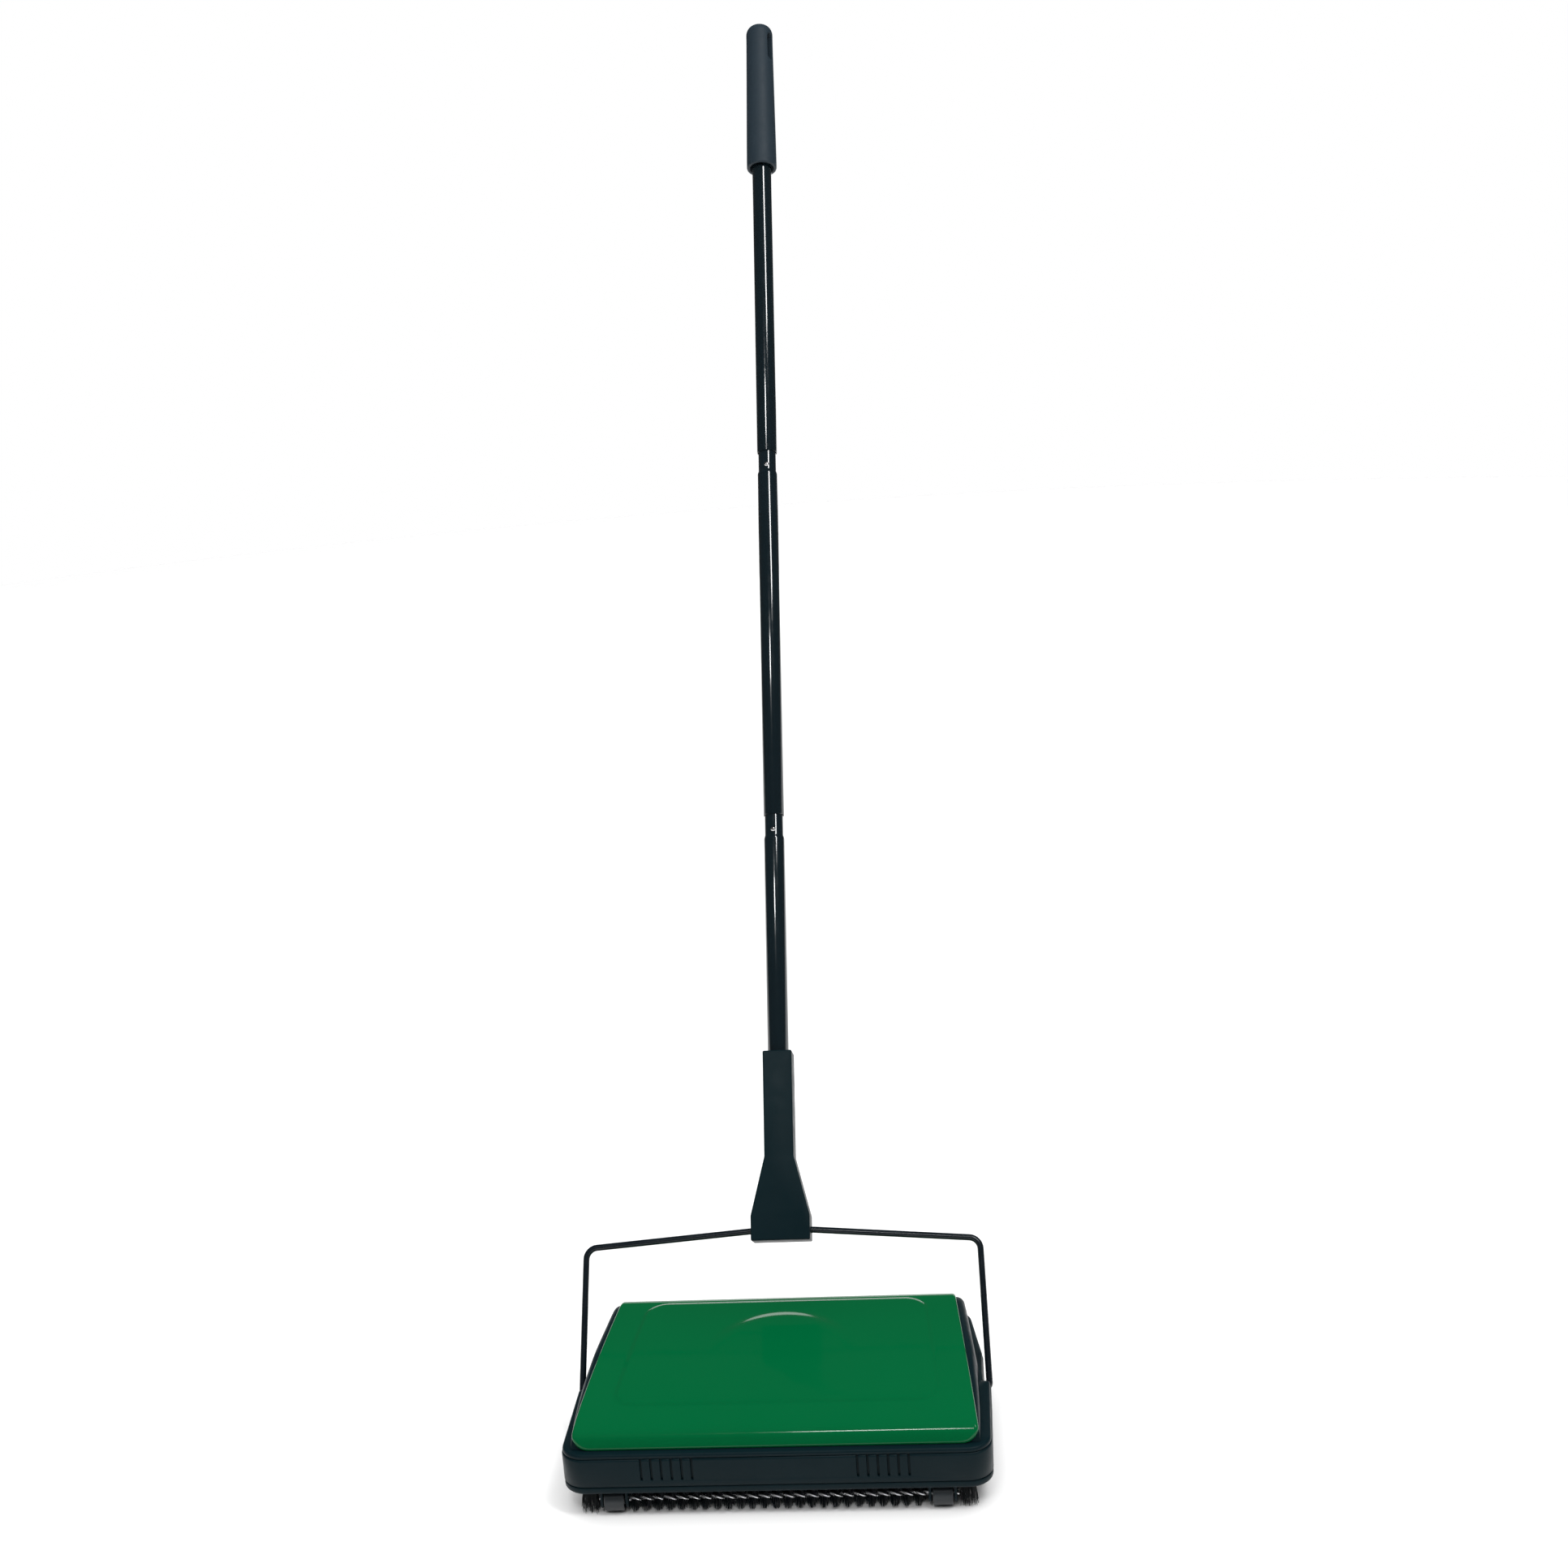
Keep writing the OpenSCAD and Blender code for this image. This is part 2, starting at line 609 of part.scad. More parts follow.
module handle_socket() color(black) on_handle() difference() {
  socket_shape();
  translate([0, 0, socket_top_s - tube_in_socket]) cylinder(r = tube_r, h = tube_in_socket + 1);
  along_x(-socket_foot_w, socket_foot_w, 0, bail_mid_s, wire_r + 0.1);
  translate([0, 0, socket_screw_s]) rotate([-90, 0, 0]) cylinder(r = screw_r, h = socket_t);
}

module socket_screw() color(steel) on_handle() translate([0, 0, socket_screw_s]) rotate([-90, 0, 0]) {
  translate([0, 0, tube_r]) cylinder(r = screw_r, h = socket_t / 2 - tube_r);
  translate([0, 0, socket_t / 2]) cylinder(r = screw_head_r, h = 1.8);
}

// A handle tube from s0 to its shoulder at s1, then a narrowed neck for the next tube
module necked_tube(s0, s1) rotate_extrude() polygon([
  [bore_r, s0], [tube_r, s0], [tube_r, s1 - shoulder_l], [neck_r, s1], [neck_r, s1 + neck_show + neck_in],
  [neck_r - tube_wall, s1 + neck_show + neck_in], [neck_r - tube_wall, s1], [bore_r, s1 - shoulder_l]]);

module button_hole(mouth_s) translate([0, 0, mouth_s - button_below_mouth]) rotate([90, 0, 0])
  cylinder(r = button_r + button_gap, h = tube_r + 1);

module lower_tube() color(black) on_handle() difference() {
  necked_tube(socket_top_s - tube_in_socket, lower_end_s);
  button_hole(middle_start_s);
}

module middle_tube() color(black) on_handle() difference() {
  necked_tube(middle_start_s, middle_end_s);
  button_hole(upper_start_s);
}

module upper_tube() color(black) on_handle() rotate_extrude() polygon([
  [bore_r, upper_start_s], [tube_r, upper_start_s], [tube_r, upper_end_s], [bore_r, upper_end_s]]);

// A round-headed button that stands out of a neck towards the front
module snap_button(mouth_s) color(steel) on_handle() translate([0, 0, mouth_s - button_below_mouth])
  rotate([90, 0, 0]) translate([0, 0, neck_r + button_proud - button_l]) rotate_extrude() polygon(concat(
    [[0, 0], [button_r, 0]],
    [for (a = [0:15:90]) [button_r - 1 + cos(a), button_l - 1 + sin(a)]],
    [[0, button_l]]));

module lower_button() snap_button(middle_start_s);
module upper_button() snap_button(upper_start_s);

module grip() color(charcoal) on_handle() difference() {
  rotate_extrude() polygon(concat(
    [[0, grip_s], [grip_foot_d / 2 - 1, grip_s], [grip_foot_d / 2, grip_s + 1.2],
     [grip_foot_d / 2, grip_s + 6], [grip_top_d / 2, grip_top_s - crown_r - 6]],
    [for (a = [0:15:75]) [grip_top_d / 2 - crown_r * (1 - cos(a)) * 0.75, grip_top_s - crown_r * (1 - sin(a))]],
    [[crown_flat_r, grip_top_s], [crown_flat_r - 1, grip_top_s - 1], [0, grip_top_s - 1]]));
  translate([0, 0, grip_s - 1]) cylinder(r = tube_r, h = upper_end_s - grip_s + 1);
  translate([0, 0, grip_s - 1]) cylinder(r = mouth_r, h = mouth_deep + 1);
  slot_mid = grip_top_s - hang_slot_top - hang_slot_l / 2;
  rotate([0, 0, -hang_slot_turn]) translate([-grip_foot_d, 0, slot_mid]) {
    translate([0, -hang_slot_w / 2, -hang_slot_l / 2 + hang_slot_w / 2])
      cube([2 * grip_foot_d, hang_slot_w, hang_slot_l - hang_slot_w]);
    for (d = [-1, 1]) along_x(0, 2 * grip_foot_d, 0, d * (hang_slot_l - hang_slot_w) / 2, hang_slot_w / 2);
  }
}

base_frame();
top_deck();
dome_cover();
deck_screws();
bail_wire();
handle_socket();
socket_screw();
lower_tube();
middle_tube();
upper_tube();
grip();
lower_button();
upper_button();
color(charcoal) pan();  // front_pan
color(charcoal) mirror([0, 1, 0]) pan();  // rear_pan
pan_pin(-1);  // front_pan_pin
pan_pin(1);  // rear_pan_pin
pan_spring(-1);  // front_pan_spring
pan_spring(1);  // rear_pan_spring
mirror([1, 0, 0]) pivot_bush();  // pivot_bush_left
pivot_bush();  // pivot_bush_right
mirror([1, 0, 0]) rail(inner_rail_x);  // left_inner_rail
mirror([1, 0, 0]) rail(outer_rail_x);  // left_outer_rail
rail(inner_rail_x);  // right_inner_rail
rail(outer_rail_x);  // right_outer_rail
brush_core(-1);  // front_brush_core
brush_core(1);  // rear_brush_core
brush_bristles(-1);  // front_brush_bristles
brush_bristles(1);  // rear_brush_bristles
for (e = [-1, 1], s = [-1, 1]) {
  corner = str(e < 0 ? "front" : "rear", "_", s < 0 ? "left" : "right", "_");
  pulley(e, s);
  wheel_hub(e, s);
  tyre(e, s);
  axle(e, s);
  tuft_block(e, s);
  tuft(e, s);
}
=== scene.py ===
import json
import math
import random

import bmesh
import bpy
from mathutils import Matrix, Vector


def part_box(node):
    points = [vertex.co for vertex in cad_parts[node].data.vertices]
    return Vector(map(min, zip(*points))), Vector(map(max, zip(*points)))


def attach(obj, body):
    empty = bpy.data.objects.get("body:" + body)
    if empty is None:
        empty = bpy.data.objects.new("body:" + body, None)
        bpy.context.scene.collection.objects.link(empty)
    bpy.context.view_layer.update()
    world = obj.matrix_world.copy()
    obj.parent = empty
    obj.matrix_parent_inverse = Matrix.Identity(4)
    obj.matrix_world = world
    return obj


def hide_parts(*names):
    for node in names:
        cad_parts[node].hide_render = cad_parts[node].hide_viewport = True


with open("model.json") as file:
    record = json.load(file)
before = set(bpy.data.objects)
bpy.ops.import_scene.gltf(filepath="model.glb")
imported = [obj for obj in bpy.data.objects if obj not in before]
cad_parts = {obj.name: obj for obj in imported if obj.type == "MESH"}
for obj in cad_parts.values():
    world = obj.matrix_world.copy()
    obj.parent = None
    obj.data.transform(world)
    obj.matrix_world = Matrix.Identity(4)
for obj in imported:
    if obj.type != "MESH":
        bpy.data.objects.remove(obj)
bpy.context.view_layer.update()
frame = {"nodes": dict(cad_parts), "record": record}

# Lengths are millimetres until a mesh is made. Places come from the CAD boxes.
MM = 0.001


def box(node):
    """Lowest and highest corner of a CAD node, in millimetres."""
    low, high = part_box(node)
    return low / MM, high / MM


def middle(node):
    low, high = box(node)
    return (low + high) / 2


def joint(name):
    return next(j for j in frame["record"]["behaviour"]["joints"] if j["name"] == name)


BASE_LOW, BASE_HIGH = box("base_frame")
COVER_LOW, COVER_HIGH = box("dome_cover")
HALF_W = BASE_HIGH.x
SKIRT_Z, SEAM_Z = BASE_LOW.z, BASE_HIGH.z
DECK_Z = COVER_LOW.z
CROWN_Z = COVER_HIGH.z
WALL = 2.6
SIDE_STEP = 5       # how far each side steps in behind the bumper, at STEP_Y
REAR_TAPER = 9      # how far each side then closes in, from TAPER_Y to the rear
STEP_Y = -6
TAPER_Y = 30
CORNER_R = 16

# The handle's own axes at rest, from the bail's pivot up the lean
PIVOT = Vector(joint("handle_swing")["pos_m"]) / MM
LEAN = math.radians(32)
ALONG = Vector((0, math.sin(LEAN), math.cos(LEAN)))
BACK = Vector((0, math.cos(LEAN), -math.sin(LEAN)))
ACROSS = Vector((1, 0, 0))
UP = Vector((0, 0, 1))


# ---- materials ----

def new_material(name, colour, roughness, **sockets):
    """A Principled material, and the helpers that its details are wired with."""
    material = bpy.data.materials.new(name)
    material.use_nodes = True
    nodes, links = material.node_tree.nodes, material.node_tree.links
    shader = nodes["Principled BSDF"]
    shader.inputs["Base Color"].default_value = (*colour, 1)
    shader.inputs["Roughness"].default_value = roughness
    for socket, value in sockets.items():
        shader.inputs[socket.replace("_", " ")].default_value = value
    return material, nodes, links, shader


def noise(nodes, links, scale, detail=3, stretch=(1, 1, 1)):
    """Noise in object space, with scale in features per metre."""
    coords = nodes.new("ShaderNodeTexCoord")
    mapping = nodes.new("ShaderNodeMapping")
    mapping.inputs["Scale"].default_value = stretch
    texture = nodes.new("ShaderNodeTexNoise")
    texture.inputs["Scale"].default_value = scale
    texture.inputs["Detail"].default_value = detail
    links.new(coords.outputs["Object"], mapping.inputs["Vector"])
    links.new(mapping.outputs["Vector"], texture.inputs["Vector"])
    return texture.outputs["Fac"]


def spread(nodes, links, value, low, high, socket):
    """Feeds a socket with value, spread from low to high."""
    ramp = nodes.new("ShaderNodeMapRange")
    ramp.inputs["From Min"].default_value = 0.3
    ramp.inputs["From Max"].default_value = 0.7
    ramp.inputs["To Min"].default_value = low
    ramp.inputs["To Max"].default_value = high
    links.new(value, ramp.inputs["Value"])
    links.new(ramp.outputs["Result"], socket)


def shade_variation(nodes, links, shader, colour, amount, scale):
    """Lets the base colour drift by amount around its value."""
    mix = nodes.new("ShaderNodeMix")
    mix.data_type = "RGBA"
    dark, light = [(*(c * k for c in colour), 1) for k in (1 - amount, 1 + amount)]
    mix.inputs["A"].default_value = dark
    mix.inputs["B"].default_value = light
    links.new(noise(nodes, links, scale), mix.inputs["Factor"])
    links.new(mix.outputs["Result"], shader.inputs["Base Color"])


def grain(nodes, links, shader, scale, depth, strength=1.0, detail=3, stretch=(1, 1, 1)):
    bump = nodes.new("ShaderNodeBump")
    bump.inputs["Strength"].default_value = strength
    bump.inputs["Distance"].default_value = depth * MM
    links.new(noise(nodes, links, scale, detail, stretch), bump.inputs["Height"])
    links.new(bump.outputs["Normal"], shader.inputs["Normal"])


def finish_material(name, colour, rough, drift=0.12, drift_scale=40, grain_scale=2500,
                    grain_depth=0.03, stretch=(1, 1, 1), **sockets):
    """A finish whose roughness runs over rough = (low, high), with colour drift and a fine grain."""
    material, nodes, links, shader = new_material(name, colour, rough[0], **sockets)
    shade_variation(nodes, links, shader, colour, drift, drift_scale)
    spread(nodes, links, noise(nodes, links, drift_scale * 3, 5), *rough, shader.inputs["Roughness"])
    grain(nodes, links, shader, grain_scale, grain_depth, stretch=stretch)
    return material


MATERIALS = {
    "black_plastic": finish_material("satin_black_plastic", (0.0022, 0.0095, 0.0125), (0.34, 0.46),
                                     grain_scale=3200, grain_depth=0.02, Specular_IOR_Level=0.1),
    "green_plastic": finish_material("gloss_green_plastic", (0.0001, 0.088, 0.026), (0.06, 0.11),
                                     drift=0.05, drift_scale=12, grain_scale=90,
                                     grain_depth=0.012, Specular_IOR_Level=0.25),
    "screw_steel": finish_material("zinc_screw", (0.42, 0.42, 0.43), (0.28, 0.42), Metallic=1.0),
    "black_wire": finish_material("enamelled_wire", (0.003, 0.006, 0.009), (0.2, 0.3),
                                  grain_scale=500, grain_depth=0.01, Specular_IOR_Level=0.4),
    "black_tube": finish_material("gloss_tube_paint", (0.003, 0.008, 0.011), (0.1, 0.17),
                                  grain_scale=260, grain_depth=0.006, Coat_Weight=0.6,
                                  Coat_Roughness=0.06),
    "grip_plastic": finish_material("grained_grip", (0.013, 0.023, 0.032), (0.5, 0.62), drift=0.1,
                                    grain_scale=1700, grain_depth=0.12, Specular_IOR_Level=0.35),
    "button_steel": finish_material("bright_button", (0.62, 0.62, 0.62), (0.14, 0.22), Metallic=1.0),
    "pan_plastic": finish_material("pan_plastic", (0.012, 0.017, 0.020), (0.42, 0.55),
                                   Specular_IOR_Level=0.3),
    "pin_steel": finish_material("drawn_steel", (0.5, 0.5, 0.5), (0.2, 0.34), Metallic=1.0,
                                 stretch=(0.05, 1, 1)),
    "bush_plastic": finish_material("bush_plastic", (0.016, 0.022, 0.027), (0.4, 0.52),
                                    Specular_IOR_Level=0.3),
    "core_steel": finish_material("galvanised_wire", (0.72, 0.73, 0.74), (0.22, 0.36), Metallic=1.0,
                                  grain_scale=900),
    "bristle": finish_material("nylon_bristle", (0.002, 0.004, 0.005), (0.45, 0.6), drift=0.35,
                               drift_scale=300, Specular_IOR_Level=0.2),
    "pulley_plastic": finish_material("pulley_plastic", (0.008, 0.012, 0.015), (0.4, 0.52)),
    "hub_plastic": finish_material("hub_plastic", (0.016, 0.021, 0.026), (0.4, 0.52)),
    "tyre_rubber": finish_material("tyre_rubber", (0.010, 0.010, 0.010), (0.65, 0.8),
                                   grain_scale=1400, grain_depth=0.08, Specular_IOR_Level=0.25),
}


# ---- mesh tools ----

def make_object(name, verts, faces, merge_at=0):
    """An object from points in millimetres, with its faces turned outwards."""
    mesh = bpy.data.meshes.new(name)
    mesh.from_pydata([Vector(v) * MM for v in verts], [], faces)
    work = bmesh.new()
    work.from_mesh(mesh)
    if merge_at:
        bmesh.ops.remove_doubles(work, verts=work.verts, dist=merge_at)
    bmesh.ops.recalc_face_normals(work, faces=work.faces)
    work.to_mesh(mesh)
    work.free()
    thing = bpy.data.objects.new(name, mesh)
    bpy.context.collection.objects.link(thing)
    return thing


def make_piece(name, verts, faces, slot, body, replaced=(), sharp_degrees=35):
    """A closed mesh that rides on a body and takes the place of the replaced CAD nodes."""
    piece = make_object(name, verts, faces, merge_at=1e-6)
    piece.data.materials.append(MATERIALS[slot])
    smooth(piece, sharp_degrees)
    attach(piece, body)
    if replaced:
        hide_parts(*replaced)
    return piece


def smooth(piece, sharp_degrees=35):
    piece.data.shade_smooth()
    piece.data.set_sharp_from_angle(angle=math.radians(sharp_degrees))


def apply_modifiers(piece):
    evaluated = piece.evaluated_get(bpy.context.evaluated_depsgraph_get())
    mesh = bpy.data.meshes.new_from_object(evaluated)
    piece.modifiers.clear()
    piece.data = mesh


def bevel(piece, width, segments=3, degrees=40):
    modifier = piece.modifiers.new("bevel", "BEVEL")
    modifier.width = width * MM
    modifier.segments = segments
    modifier.limit_method = "ANGLE"
    modifier.angle_limit = math.radians(degrees)
    apply_modifiers(piece)
    smooth(piece, 50)


def cut_away(piece, verts, faces):
    """Takes a solid out of a piece."""
    cutter = make_object("cutter", verts, faces)
    modifier = piece.modifiers.new("cut", "BOOLEAN")
    modifier.operation = "DIFFERENCE"
    modifier.solver = "EXACT"
    modifier.object = cutter
    apply_modifiers(piece)
    bpy.data.objects.remove(cutter)
    smooth(piece)


def turns(count):
    """The angles of count points spaced evenly around a circle."""
    return [2 * math.pi * k / count for k in range(count)]


def half_turn(start, steps):
    """Angles over half a turn, in equal steps."""
    return [start + math.pi * k / steps for k in range(steps + 1)]


def loft(rings, closed=False):
    """Verts and faces of a skin over rings of equal counts.

    closed joins the last ring to the first. Otherwise both ends are capped."""
    count = len(rings[0])
    verts = [p for ring in rings for p in ring]
    faces = []
    for i in range(len(rings) if closed else len(rings) - 1):
        a, b = i * count, (i + 1) % len(rings) * count
        faces += [(a + k, a + (k + 1) % count, b + (k + 1) % count, b + k) for k in range(count)]
    if not closed:
        last = (len(rings) - 1) * count
        faces += [tuple(reversed(range(count))), tuple(range(last, last + count))]
    return verts, faces


def join(*solids):
    """One list of verts and faces from several."""
    verts, faces = [], []
    for more_verts, more_faces in solids:
        faces += [tuple(k + len(verts) for k in face) for face in more_faces]
        verts += more_verts
    return verts, faces


def lathe(profile, origin, axis, side, sides=72):
    """Turns (radius, distance) points about an axis. A radius of 0 closes an end."""
    other = axis.cross(side)
    rings = [[origin + axis * s + (side * math.cos(t) + other * math.sin(t)) * max(r, 0.001)
              for t in turns(sides)] for r, s in profile]
    hollow = profile[0][0] > 0 and profile[-1][0] > 0
    return loft(rings, closed=hollow)


def tube(path, radius, sides=16):
    """A round tube along a path, with flat ends."""
    points = [Vector(p) for p in path]
    normal = None
    rings = []
    for i, point in enumerate(points):
        ahead = (points[min(i + 1, len(points) - 1)] - points[max(i - 1, 0)]).normalized()
        if normal is None:
            normal = ahead.orthogonal().normalized()
        normal = (normal - ahead * normal.dot(ahead)).normalized()
        other = ahead.cross(normal)
        rings.append([point + (normal * math.cos(t) + other * math.sin(t)) * radius
                      for t in turns(sides)])
    return loft(rings)


def fillet(points, radii, steps=8, is_closed=True):
    """Rounds the corners of a plane outline, given as 2-D vectors."""
    out = []
    count = len(points)
    for i, (point, radius) in enumerate(zip(points, radii)):
        if radius <= 0 or not is_closed and i in (0, count - 1):
            out.append(Vector(point))
            continue
        p = Vector(point)
        u = (Vector(points[i - 1]) - p).normalized()
        v = (Vector(points[(i + 1) % count]) - p).normalized()
        half = math.acos(max(-1, min(1, u.dot(v)))) / 2
        centre = p + (u + v).normalized() * radius / math.sin(half)
        a = p + u * radius / math.tan(half) - centre
        b = p + v * radius / math.tan(half) - centre
        start = math.atan2(a.y, a.x)
        turn = math.atan2(a.x * b.y - a.y * b.x, a.dot(b))
        for k in range(steps + 1):
            t = start + turn * k / steps
            out.append(centre + radius * Vector((math.cos(t), math.sin(t))))
    return out


def prism(outline, place, depth):
    """Extrudes an outline. place(u, v, w) gives the point, with w from 0 to depth."""
    return loft([[place(p[0], p[1], w) for p in outline] for w in (0, depth)])


def on_handle(x, back, s):
    """A point across the handle, behind its axis, and at a distance along it from the pivot."""
    return PIVOT + ACROSS * x + BACK * back + ALONG * s


# ---- base ----

def base_plan(inset):
    """Plan of the base, inset from its outer face, with a step on each side behind the bumper."""
    front_w, rear_w = HALF_W - inset, HALF_W - SIDE_STEP - inset
    end_w = HALF_W - SIDE_STEP - REAR_TAPER - inset
    front, rear, step = BASE_LOW.y + inset, BASE_HIGH.y - inset, STEP_Y - inset
    corner = max(CORNER_R - inset, 1)
    right = [(front_w, front), (front_w, step), (rear_w, step), (rear_w, TAPER_Y), (end_w, rear)]
    left = [(-x, y) for x, y in reversed(right)]
    radii = [corner, 2, 1, 20, corner]
    return fillet(right + left, radii + radii[::-1], 10)


def plan_rings(profile):
    """The base's plan at each (inset, height) of a wall's section."""
    return [[Vector((p.x, p.y, z)) for p in base_plan(inset)] for inset, z in profile]


VENT_COUNT = 6
VENT_PITCH = 6.6
VENT_W = 1.5
VENT_H = 14.5
VENT_DEEP = 2.0
VENT_X = HALF_W / 2
GROOVE_Z = SKIRT_Z + 4.7
GROOVE_DEEP = 0.9


def make_base():
    """The wall around the sweeper: a rolled foot, a fine groove above it, and the vents in front."""
    foot = [(WALL, SKIRT_Z + 0.5), (1.7, SKIRT_Z), (1.1, SKIRT_Z + 0.15), (0.5, SKIRT_Z + 0.8),
            (0.2, SKIRT_Z + 1.6)]
    groove = [(0.2, GROOVE_Z - 0.4), (0.4, GROOVE_Z - 0.1), (GROOVE_DEEP, GROOVE_Z),
              (GROOVE_DEEP, GROOVE_Z + 0.5), (0.3, GROOVE_Z + 0.7), (0, GROOVE_Z + 1.1)]
    seam = [(0, SEAM_Z - 1.3), (0.25, SEAM_Z - 0.5), (0.8, SEAM_Z), (WALL, SEAM_Z)]
    profile = foot + groove + seam
    base = make_piece("base_moulding", *loft(plan_rings(profile), closed=True), "black_plastic",
                      "base", ["base_frame"])
    slots = []
    for side in (-1, 1):
        for i in range(VENT_COUNT):
            x = side * VENT_X + (i - (VENT_COUNT - 1) / 2) * VENT_PITCH
            half, low = VENT_W / 2, SEAM_Z - VENT_H
            outline = [(x + half, SEAM_Z + 1), (x - half, SEAM_Z + 1)]
            outline += [(x + half * math.cos(a), low + half * math.sin(a))
                        for a in half_turn(math.pi, 8)]
            slots.append(prism(outline, lambda u, v, w: Vector((u, BASE_LOW.y - 1 + w, v)),
                               1 + VENT_DEEP))
    cut_away(base, *join(*slots))
    bevel(base, 0.25, 2, 50)


SHELF_Z = SKIRT_Z + 8
SHELF_T = 2.5
FRONT_SHELF_LENGTH = 36     # with the wall in front of it
REAR_SHELF_Y = 42
REAR_SHELF_FLARE = 6        # it widens towards its front edge, as the side wall does


def make_shelves():
    """Ledges in the corners that hold the tufts and the deck screws."""
    inner, corner = box("right_outer_rail")[1].x, CORNER_R - WALL
    front, rear = BASE_LOW.y + WALL, BASE_HIGH.y - WALL
    front_end = BASE_LOW.y + FRONT_SHELF_LENGTH
    wide, narrow = HALF_W - WALL, HALF_W - SIDE_STEP - REAR_TAPER - WALL
    outlines = [([(inner, front), (wide, front), (wide, front_end), (inner, front_end)],
                 [0.5, corner, 0.5, 0.5]),
                ([(inner, REAR_SHELF_Y), (narrow + REAR_SHELF_FLARE, REAR_SHELF_Y), (narrow, rear),
                  (inner, rear)],
                 [0.5, 0.5, corner * 0.7, 0.5])]
    ledges = []
    for side in (-1, 1):
        for outline, radii in outlines:
            ledges.append(prism([(side * p.x, p.y) for p in fillet(outline, radii, 6)],
                                lambda u, v, w: Vector((u, v, SHELF_Z + w)), SHELF_T))
    shelves = make_piece("corner_shelves", *join(*ledges), "black_plastic", "base")
    bevel(shelves, 0.3, 2)


def make_rail(node):
    """An upright plate with round tongues that reach down to the axles."""
    low, high = box(node)
    brush, wheel = middle("front_brush_core"), middle("front_right_axle")
    tongues = [(brush, 6), (wheel, 6.5)]
    if "inner" in node:
        tongues.append((middle("front_pan_pin"), 4.6))
    plates = [prism([(low.y, SKIRT_Z + 2), (high.y, SKIRT_Z + 2), (high.y, high.z), (low.y, high.z)],
                    lambda u, v, w: Vector((low.x + w, u, v)), high.x - low.x)]
    for axle, r in tongues:
        for end in (-1, 1):
            y = end * axle.y
            outline = [(y + r, high.z - 2), (y - r, high.z - 2)]
            outline += [(y + r * math.cos(a), axle.z + r * math.sin(a))
                        for a in half_turn(math.pi, 16)]
            plates.append(prism(outline, lambda u, v, w: Vector((low.x + 0.1 + w, u, v)),
                                high.x - low.x - 0.2))
    rail = make_piece(node + "_plate", *join(*plates), "black_plastic", "base", [node])
    bevel(rail, 0.25, 2)


# ---- cover and deck ----

COVER_T = 2.2
COVER_GAP = 0.3
FRONT_HALF_W = 131.5
TAPER = 0.1
LIP_H = 7
LIP_OUT = 7                 # how far the lip stands in front of the CAD's cover
LIP_SLOPE = 2.5             # how far the lip leans back over its height
CROWN_BACK = 18             # from the rear edge to the highest line
FRONT_POWER = 1.3           # 2 would make each side of the crown an ellipse
REAR_POWER = 2.4
ARCH_POINTS = 360
SMOOTHING_PASSES = 12
CORNER_R_ON_SKIN = 12       # corner radius, measured along the bent sheet


def arch_line(step=0.4):
    """Side profile of the cover's outer face.

    From the front: a lip that leans back, a bend, a long low climb to the crown, a rounded rear."""
    front, rear = COVER_LOW.y - LIP_OUT, COVER_HIGH.y
    crown_y, base_z = rear - CROWN_BACK, DECK_Z + LIP_H
    arch = []
    for i in range(ARCH_POINTS + 1):
        u = -math.cos(math.pi * i / ARCH_POINTS)
        if u < 0:
            reach, power = crown_y - front - LIP_SLOPE, FRONT_POWER
        else:
            reach, power = rear - crown_y, REAR_POWER
        climb = math.sqrt(max(0, 1 - abs(u) ** power))
        arch.append(Vector((crown_y + reach * u, base_z + (CROWN_Z - base_z) * climb)))
    line = resample([Vector((front, DECK_Z))] + arch + [Vector((rear, DECK_Z))], step)
    for _ in range(SMOOTHING_PASSES):
        softer = [(a + b * 2 + c) / 4 for a, b, c in zip(line, line[1:], line[2:])]
        line = [line[0]] + softer + [line[-1]]
    return resample(line, step)


def resample(line, step):
    """The same plane line with points at an even spacing near step."""
    lengths = [0]
    for a, b in zip(line, line[1:]):
        lengths.append(lengths[-1] + (b - a).length)
    count = round(lengths[-1] / step)
    out, k = [], 0
    for i in range(count + 1):
        want = lengths[-1] * i / count
        while k < len(line) - 2 and lengths[k + 1] < want:
            k += 1
        span = lengths[k + 1] - lengths[k]
        out.append(line[k].lerp(line[k + 1], (want - lengths[k]) / span if span else 0))
    return out


ARCH = arch_line()
ARCH_STEP = sum((b - a).length for a, b in zip(ARCH, ARCH[1:])) / (len(ARCH) - 1)
ARCH_LENGTH = ARCH_STEP * (len(ARCH) - 1)


def on_arch(length):
    """Point and outward normal of the arch at a distance along it, in the YZ plane."""
    k = max(0, min(len(ARCH) - 2, int(length / ARCH_STEP)))
    point = ARCH[k].lerp(ARCH[k + 1], length / ARCH_STEP - k)
    ahead = (ARCH[min(k + 3, len(ARCH) - 1)] - ARCH[max(k - 2, 0)]).normalized()
    return point, Vector((-ahead.y, ahead.x))


def side_of(y):
    """Half width of the cover at a place along the sweeper."""
    return FRONT_HALF_W - TAPER * (y - COVER_LOW.y)


def soft_step(value, width):
    """0 to 1 as value goes from -width to width."""
    t = max(0, min(1, value / width / 2 + 0.5))
    return t * t * (3 - 2 * t)


PANEL_INSET = 22
PANEL_FRONT_Y = -58
PANEL_REAR_Y = 55
PANEL_R = 14
PANEL_RISE = 1.2
PANEL_SLOPE = 1.8
ARC_R = 45
ARC_MID_Y = -9
ARC_RISE = 2.2
ARC_SLOPE = 7
ARC_FADE_BACK = 18          # the disc fades out around a line this far behind its middle
ARC_FADE = 16
FLAT_EDGE = 4               # the embossing sinks away within this distance of the edge


